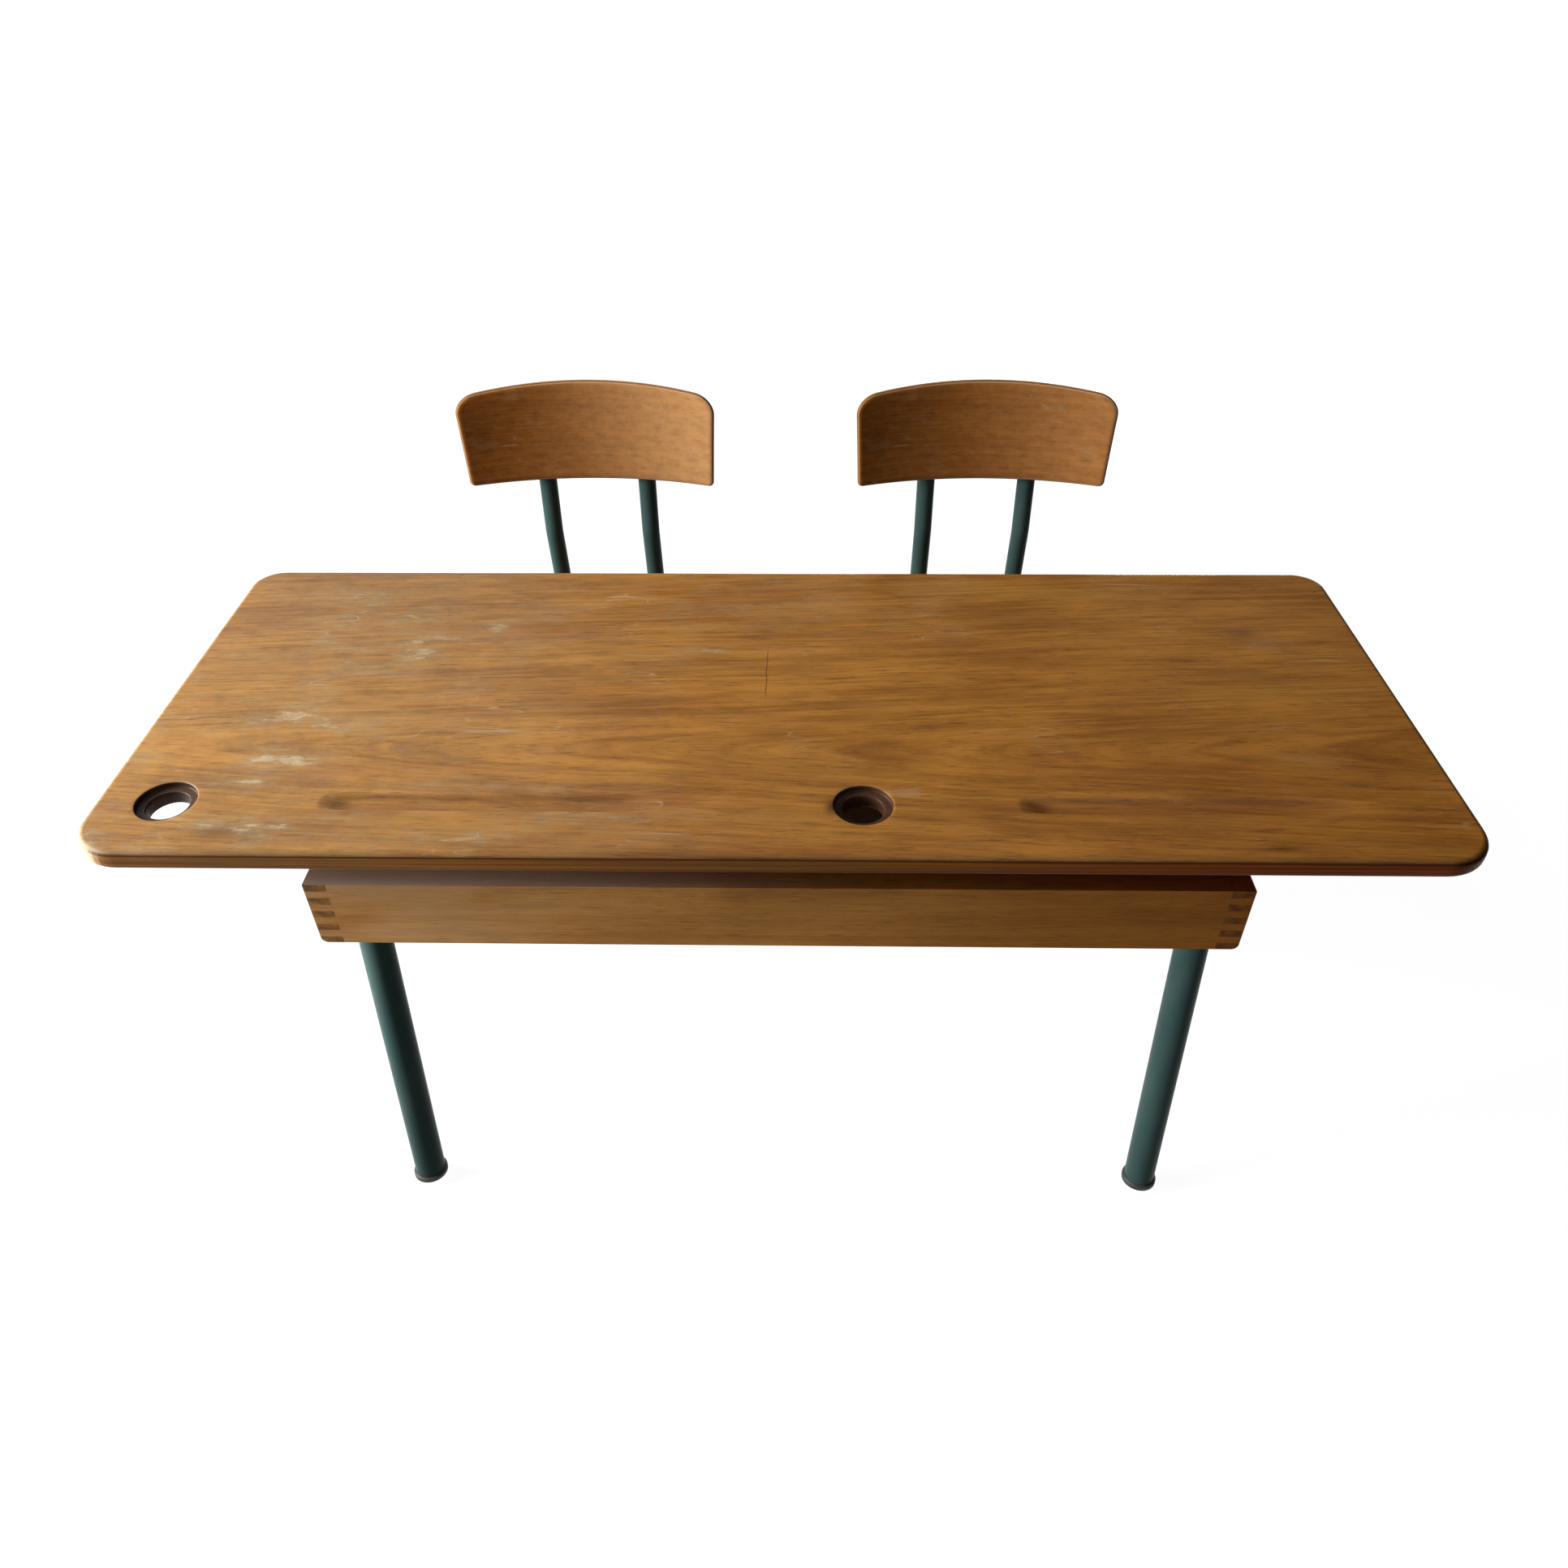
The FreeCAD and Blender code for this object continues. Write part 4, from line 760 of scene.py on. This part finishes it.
def box_paint(name, tones, along):
    """Box wood with the grain along X or Y and dark end grain on the faces across it, painted lighter on the left,
    towards the window, and given painted shade on the right.
    """
    coat = new_paint(name)
    here, facing = coat.here(), coat.facing()
    x, y, z = coat.split(here)
    place = coat.join(x, z, y) if along == "X" else coat.join(y, z, x)
    height = grain(coat, place, tones.box_light, tones.box_dark, tones.top_pore, fine=1.4)
    blotch = coat.noise(here, (9.0, 9.0, 40.0), 4.0)
    coat.darken(0.75, (blotch, 0.50, 0.78))
    # Painted sheen: paler on the left, towards the window
    coat.lay(tones.top_worn, (x, -0.05, -0.42), (blotch, 0.25, 0.6), 0.25)
    rings = (coat.noise(here, (110.0, 110.0, 150.0), 3.0), 0.30, 0.80)
    ends = (coat.math("ABSOLUTE", facing[along]), 0.6, 0.8)
    coat.lay(coat.mix(rings, tones.box_end, tones.box_dark), ends, 0.8)
    # Painted shade: deeper on the right, away from the window
    coat.stain((0.78, 0.60, 0.32), (x, -0.15, 0.45))
    level = coat.step(facing["Z"], 0.7, 0.9)
    # Painted shade on the upper faces towards the right
    coat.stain((0.76, 0.48, 0.75), level, (x, 0.10, 0.42))
    # Dust and painted light on the upper faces towards the left
    coat.lay(tones.box_lit_dust, level, (x, 0.09, -0.38), (blotch, 0.10, 0.50), 0.9)
    return coat.finish(height, 0.2, 0.0005, Roughness=coat.plus(0.38, blotch, 0.2), Specular_IOR_Level=0.06)


def bottom_paint(tones):
    """Thin unvarnished ply of the box bottom."""
    coat = new_paint("raw_bottom_ply")
    height = grain(coat, coat.here(), tones.bottom_light, tones.bottom_dark, tones.top_pore)
    coat.darken(0.65, (coat.noise(coat.here(), (12.0, 12.0, 12.0), 5.0), 0.5, 0.8))
    return coat.finish(height, 0.25, 0.0005, Roughness=0.72)


def chair_paint(name, tones, thick, painted_sheen):
    """Varnished chair veneer with pale plies on the edges, and a painted sheen by a share towards one end."""
    coat = new_paint(name)
    place = coat.layer("board")
    x, _, h = coat.split(place)
    height = grain(coat, place, tones.chair_light, tones.chair_dark, tones.top_pore, fine=1.3)
    blotch = coat.noise(place, (16.0, 30.0, 1.0), 5.0, 0.6)
    coat.lay(tones.top_worn, (blotch, 0.55, 0.8), 0.35)
    # Painted sheen: pale towards one end of the board
    coat.lay(tones.chair_painted_sheen, (x, -0.15, 0.19), painted_sheen)
    coat.darken(0.80, (coat.noise(place, (60.0, 90.0, 1.0), 5.0, 0.7), 0.42, 0.66))
    rim = coat.step(coat.math("ABSOLUTE", h), thick / 2 - 0.6 * MM, thick / 2 - 1.4 * MM)
    waves = coat.math("SINE", coat.times(h, 2 * math.pi / PLY_PAIR))
    plies = coat.step(coat.plus(waves, coat.noise(place, (220.0, 220.0, 500.0)), 1.4), 0.2, 1.4)
    coat.lay(coat.mix(plies, tones.chair_dark, tones.chair_core), rim, 0.9)
    coat.lay(tones.top_worn, scratches(coat, place, 0.4, (11.0, 90.0, 1.0), 0.010), 0.35)
    return coat.finish(height, 0.2, 0.0005, Roughness=coat.plus(0.30, blotch, 0.18), Specular_IOR_Level=0.02,
                        Sheen_Weight=0.25, Sheen_Roughness=0.5, Sheen_Tint=tones.chair_haze)


def enamel_paint(tones):
    """Brushed gloss enamel: slight runs, thin rubbed places, small chips near the floor."""
    coat = new_paint("green_enamel")
    here = coat.here()
    cloud = coat.noise(here, (26.0, 26.0, 9.0), 4.0)
    coat.colour = coat.mix((cloud, 0.40, 0.75), tones.enamel, tones.enamel_thin)
    low = coat.step(coat.split(here)["Z"], 0.25, 0.02)
    chips = coat.noise(here, (160.0, 160.0, 110.0), 3.0, 0.6)
    bare = coat.step(coat.plus(chips, low, 0.05), 0.745, 0.765)
    coat.lay(tones.enamel_chip, bare)
    peel = coat.noise(here, (420.0, 420.0, 300.0), 1.0)
    return coat.finish(coat.plus(peel, bare, -2.0), 0.08, 0.0005, Specular_IOR_Level=0.035,
                        Roughness=coat.plus(0.24, cloud, 0.16, bare, 0.3))


def rubber_paint(tones):
    """Matt rubber, scuffed grey towards the floor."""
    coat = new_paint("glide_rubber")
    here = coat.here()
    scuff = coat.noise(here, (180.0, 180.0, 180.0), 4.0)
    coat.colour = tones.rubber
    coat.lay(tones.rubber_dust, (scuff, 0.45, 0.75), (coat.split(here)["Z"], 0.02, 0.0), 0.6)
    return coat.finish(scuff, 0.15, 0.0004, Roughness=coat.plus(0.48, scuff, 0.2))


def steel_paint(tones):
    """Dull steel with rust spots and brushed grain."""
    coat = new_paint("dull_steel")
    here = coat.here()
    brushed = coat.noise(here, (900.0, 60.0, 900.0))
    rusty = coat.step(coat.noise(here, (75.0, 75.0, 75.0), 5.0, 0.65), 0.55, 0.70)
    coat.colour = tones.steel
    coat.lay(tones.rust, rusty)
    return coat.finish(brushed, 0.1, 0.0003, Metallic=coat.plus(1.0, rusty, -0.9),
                        Roughness=coat.plus(0.34, brushed, 0.2, rusty, 0.35))


# Operators

def add_object(name, data):
    """New object in the scene."""
    made = bpy.data.objects.new(name, data)
    bpy.context.scene.collection.objects.link(made)
    return made


def new_piece(name, points, faces, body, slot, material, **attributes):
    """Mesh object from arrays, smooth, with named point attributes, riding on a body."""
    mesh = bpy.data.meshes.new(name)
    mesh.from_pydata(points.tolist(), [], faces.tolist())
    mesh.polygons.foreach_set("use_smooth", np.ones(len(faces), bool))
    for key, values in attributes.items():
        layer = mesh.attributes.new(key, "FLOAT_VECTOR", "POINT")
        layer.data.foreach_set("vector", np.ascontiguousarray(values, np.float32).ravel())
    mesh.materials.append(material)
    mesh.update()
    piece = add_object(name, mesh)
    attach(piece, body)
    return piece


def dress(material, *names):
    """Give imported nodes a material."""
    for name in names:
        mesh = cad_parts[name].data
        mesh.materials.clear()
        mesh.materials.append(material)


def of_chairs(*ends):
    """Names of like pieces of both chairs."""
    return [f"{chair}_{end}" for chair in CHAIRS for end in ends]


class DESK_OT_top(bpy.types.Operator):
    """Build the plywood desk top with its inkwell holes and pen grooves"""
    bl_idname = "school_desk.top"
    bl_label = "Desk Top"

    def execute(self, context):
        scene = context.scene
        points, faces, board, marks = top_surface(scene.desk_top)
        low = np.array([0.0, TOP_LOW.y, (TOP_LOW.z + TOP_HIGH.z) / 2])
        piece = new_piece("desk_top_board", points + low, faces, "desk", "top_plywood",
                          top_paint(scene.desk_finish), board=board, marks=marks)
        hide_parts("desk_top")
        return {"FINISHED"}


class DESK_OT_boards(bpy.types.Operator):
    """Build the backrests and seats of both chairs"""
    bl_idname = "school_desk.boards"
    bl_label = "Chair Boards"

    def execute(self, context):
        sizes = context.scene.desk_chair
        tones = context.scene.desk_finish
        back_points, back_faces = backrest_surface(sizes)
        seat_material = None
        for chair, painted_sheen in zip(CHAIRS, (tones.left_painted_sheen, tones.right_painted_sheen)):
            low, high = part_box(chair + "_seat")
            middle = (low.x + high.x) / 2
            thick = high.z - low.z
            seat_material = seat_material or chair_paint("seat_veneer", tones, thick, tones.seat_painted_sheen)
            points, faces = seat_surface(high.y - low.y, thick, sizes)
            seat = new_piece(chair + "_seat_board", points + np.array([middle, low.y, (low.z + high.z) / 2]), faces,
                             chair, "chair_plywood", seat_material, board=points[:, [1, 0, 2]])
            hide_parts(chair + "_seat")
            back_material = chair_paint(chair + "_backrest_veneer", tones, sizes.back_thick, painted_sheen)
            foot = np.array([middle, TOP_LOW.y + sizes.back_face, sizes.back_rise])
            back = new_piece(chair + "_back_board", bend_backrest(back_points, foot, sizes), back_faces,
                             chair, "chair_plywood", back_material, board=back_points)
            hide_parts(chair + "_backrest")
        return {"FINISHED"}


class DESK_OT_finishes(bpy.types.Operator):
    """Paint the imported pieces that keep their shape: box, tubes, glides, plates and screws"""
    bl_idname = "school_desk.finishes"
    bl_label = "Finishes"

    def execute(self, context):
        tones = context.scene.desk_finish
        dress(box_paint("box_front_wood", tones, "X"), "box_front_panel")
        dress(box_paint("box_side_wood", tones, "Y"), "box_left_side", "box_right_side", "box_divider")
        dress(bottom_paint(tones), "box_bottom")
        tubes = ("left_rear_tube", "right_rear_tube", "left_front_tube", "right_front_tube", "front_bar", "rear_bar")
        dress(enamel_paint(tones), "left_leg_frame", "right_leg_frame", "front_cross_tube", "rear_cross_tube",
              "fixing_lugs", *of_chairs(*tubes))
        dress(rubber_paint(tones), "desk_glides", *of_chairs("glides", "tube_plugs"))
        dress(steel_paint(tones), "box_hangers", "top_screws", "box_screws",
              *of_chairs("seat_screws", "backrest_screws"))
        return {"FINISHED"}


class DESK_OT_welds(bpy.types.Operator):
    """Lay weld beads round the joints of the tubes"""
    bl_idname = "school_desk.welds"
    bl_label = "Weld Beads"

    def execute(self, context):
        sizes = context.scene.desk_weld
        enamel = bpy.data.materials["green_enamel"]
        new_piece("desk_weld_beads", *desk_welds(sizes), "desk", "leg_enamel", enamel)
        for chair in CHAIRS:
            new_piece(chair + "_weld_beads", *chair_welds(chair, sizes), chair, "chair_enamel", enamel)
        return {"FINISHED"}


FLOOR_REACH = 8.0
FLOOR_GREYS = (0.11, 0.14)  # to other light, and where shadows are seen
SCREEN_GREY = 0.02
# Lamps: name, place, aim, width and height, share of the window's power, spread in degrees, colour
LAMPS = (
    ("window_light", (-2.7, -0.30, 1.58), (0.0, 0.0, 0.62), (1.7, 1.4), 1.0, 180, (1.0, 0.98, 0.95)),
    ("low_light", (-1.6, -0.85, 0.42), (-0.1, -0.43, 0.45), (0.5, 0.3), 0.0095, 34, (1.0, 0.98, 0.95)),
    ("back_light", (0.7, 2.6, 0.42), (0.0, 0.4, 0.45), (1.6, 0.4), 0.12, 180, (1.0, 0.99, 0.97)),
)
# Dark screens against the room's light: name, lower corner, run, rise
SCREENS = (
    ("right_screen", (2.3, -2.4, 0.0), (0.0, 5.2, 0.0), (0.0, 0.0, 4.6)),
    ("back_screen", (-0.9, 2.8, 1.1), (3.2, 0.0, 0.0), (0.0, 0.0, 3.5)),
)


def add_lamp(power, name, spot, aim, size, part, spread, tint):
    """Rectangular lamp at a spot, turned to its aim, with a part of the power."""
    data = bpy.data.lights.new(name, "AREA")
    data.shape = "RECTANGLE"
    data.size, data.size_y = size
    data.energy = power * part
    data.spread = math.radians(spread)
    data.color = tint
    lamp = add_object(name, data)
    way = np.subtract(aim, spot).tolist()
    lamp.location = spot
    lamp.rotation_euler = Vector(way).to_track_quat("-Z", "Y").to_euler()


def add_sheet(name, corner, run, rise, material):
    """Flat stage piece from a corner, along its run and its rise."""
    corner, run, rise = np.array([corner, run, rise], float)
    corners = np.array([corner, corner + run, corner + run + rise, corner + rise])
    mesh = bpy.data.meshes.new(name)
    mesh.from_pydata(corners.tolist(), [], [(0, 1, 2, 3)])
    mesh.materials.append(material)
    sheet = add_object(name, mesh)
    return sheet


def floor_paint(stage):
    """Floor that is white where it is seen, but for faint shadows near the desk, and grey to other light."""
    coat = new_paint("pale_floor")
    coat.nodes.remove(coat.nodes["Principled BSDF"])
    grey, faint = (coat.node("BsdfDiffuse", (tone, tone, tone)).outputs[0] for tone in FLOOR_GREYS)
    away = coat.node("VectorMath", coat.here(), operation="LENGTH").outputs["Value"]
    fade = coat.node("MapRange", away, 1.0, 3.2, stage.floor_glow, 1.0, interpolation_type="SMOOTHSTEP").outputs[0]
    glow = coat.node("Emission", (1.0, 1.0, 1.0), fade).outputs[0]
    return coat.choose(grey, coat.node("AddShader", faint, glow).outputs[0], "Material Output")


def room_paint(stage):
    """World that is white where it is seen and dim to other light."""
    coat = Paint(bpy.data.worlds.new("room"))
    room = coat.fill(coat.nodes["Background"], Color=(0.96, 0.98, 1.0), Strength=stage.room)
    return coat.choose(room, coat.node("Background", (1.0, 1.0, 1.0)).outputs[0], "World Output")


class DESK_OT_stage(bpy.types.Operator):
    """Set up the pale floor, the window light and the camera"""
    bl_idname = "school_desk.stage"
    bl_label = "Stage"

    def execute(self, context):
        scene = context.scene
        stage = scene.desk_stage
        side = 2 * FLOOR_REACH
        add_sheet("floor", (-FLOOR_REACH, -FLOOR_REACH, 0.0), (side, 0.0, 0.0), (0.0, side, 0.0), floor_paint(stage))
        scene.world = room_paint(stage)
        for lamp in LAMPS:
            add_lamp(stage.window, *lamp)
        for name, *ways in SCREENS:
            cloth = new_paint(name + "_cloth")
            cloth.fill(cloth.nodes["Principled BSDF"], Base_Color=[SCREEN_GREY] * 3, Roughness=0.9,
                       Specular_IOR_Level=0.0)
            add_sheet(name, *ways, cloth.owner).visible_camera = False
        data = bpy.data.cameras.new("camera")
        data.lens = stage.lens
        camera = add_object("camera", data)
        turn = Euler((stage.pitch, 0.0, stage.yaw)).to_matrix() @ Euler((0.0, 0.0, stage.roll)).to_matrix()
        spot = Vector((0.0, TOP_LOW.y, 0.0)) + Vector(stage.camera)
        camera.matrix_world = Matrix.Translation(spot) @ turn.to_4x4()
        scene.camera = camera
        scene.view_settings.view_transform = "Standard"
        return {"FINISHED"}


class DESK_PT_panel(bpy.types.Panel):
    """Steps that build the desk, in order"""
    bl_idname = "DESK_PT_panel"
    bl_label = "School Desk"
    bl_space_type = "VIEW_3D"
    bl_region_type = "UI"
    bl_category = "School Desk"

    def draw(self, context):
        for step in STEPS:
            self.layout.operator(step.bl_idname)


GROUPS = {"desk_top": DESK_PG_top, "desk_chair": DESK_PG_chair, "desk_weld": DESK_PG_weld,
          "desk_finish": DESK_PG_finish, "desk_stage": DESK_PG_stage}
STEPS = (DESK_OT_top, DESK_OT_boards, DESK_OT_finishes, DESK_OT_welds, DESK_OT_stage)
CLASSES = (*GROUPS.values(), *STEPS, DESK_PT_panel)


def register():
    """Add the classes and their property groups."""
    for item in CLASSES:
        bpy.utils.register_class(item)
    for name, group in GROUPS.items():
        setattr(bpy.types.Scene, name, PointerProperty(type=group))


def unregister():
    """Take them away again."""
    for name in GROUPS:
        delattr(bpy.types.Scene, name)
    for item in reversed(CLASSES):
        bpy.utils.unregister_class(item)


def main():
    """Build the desk step by step."""
    register()
    bpy.ops.school_desk.top()
    bpy.ops.school_desk.boards()
    bpy.ops.school_desk.finishes()
    bpy.ops.school_desk.welds()
    bpy.ops.school_desk.stage()
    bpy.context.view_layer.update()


if __name__ == "__main__":
    main()
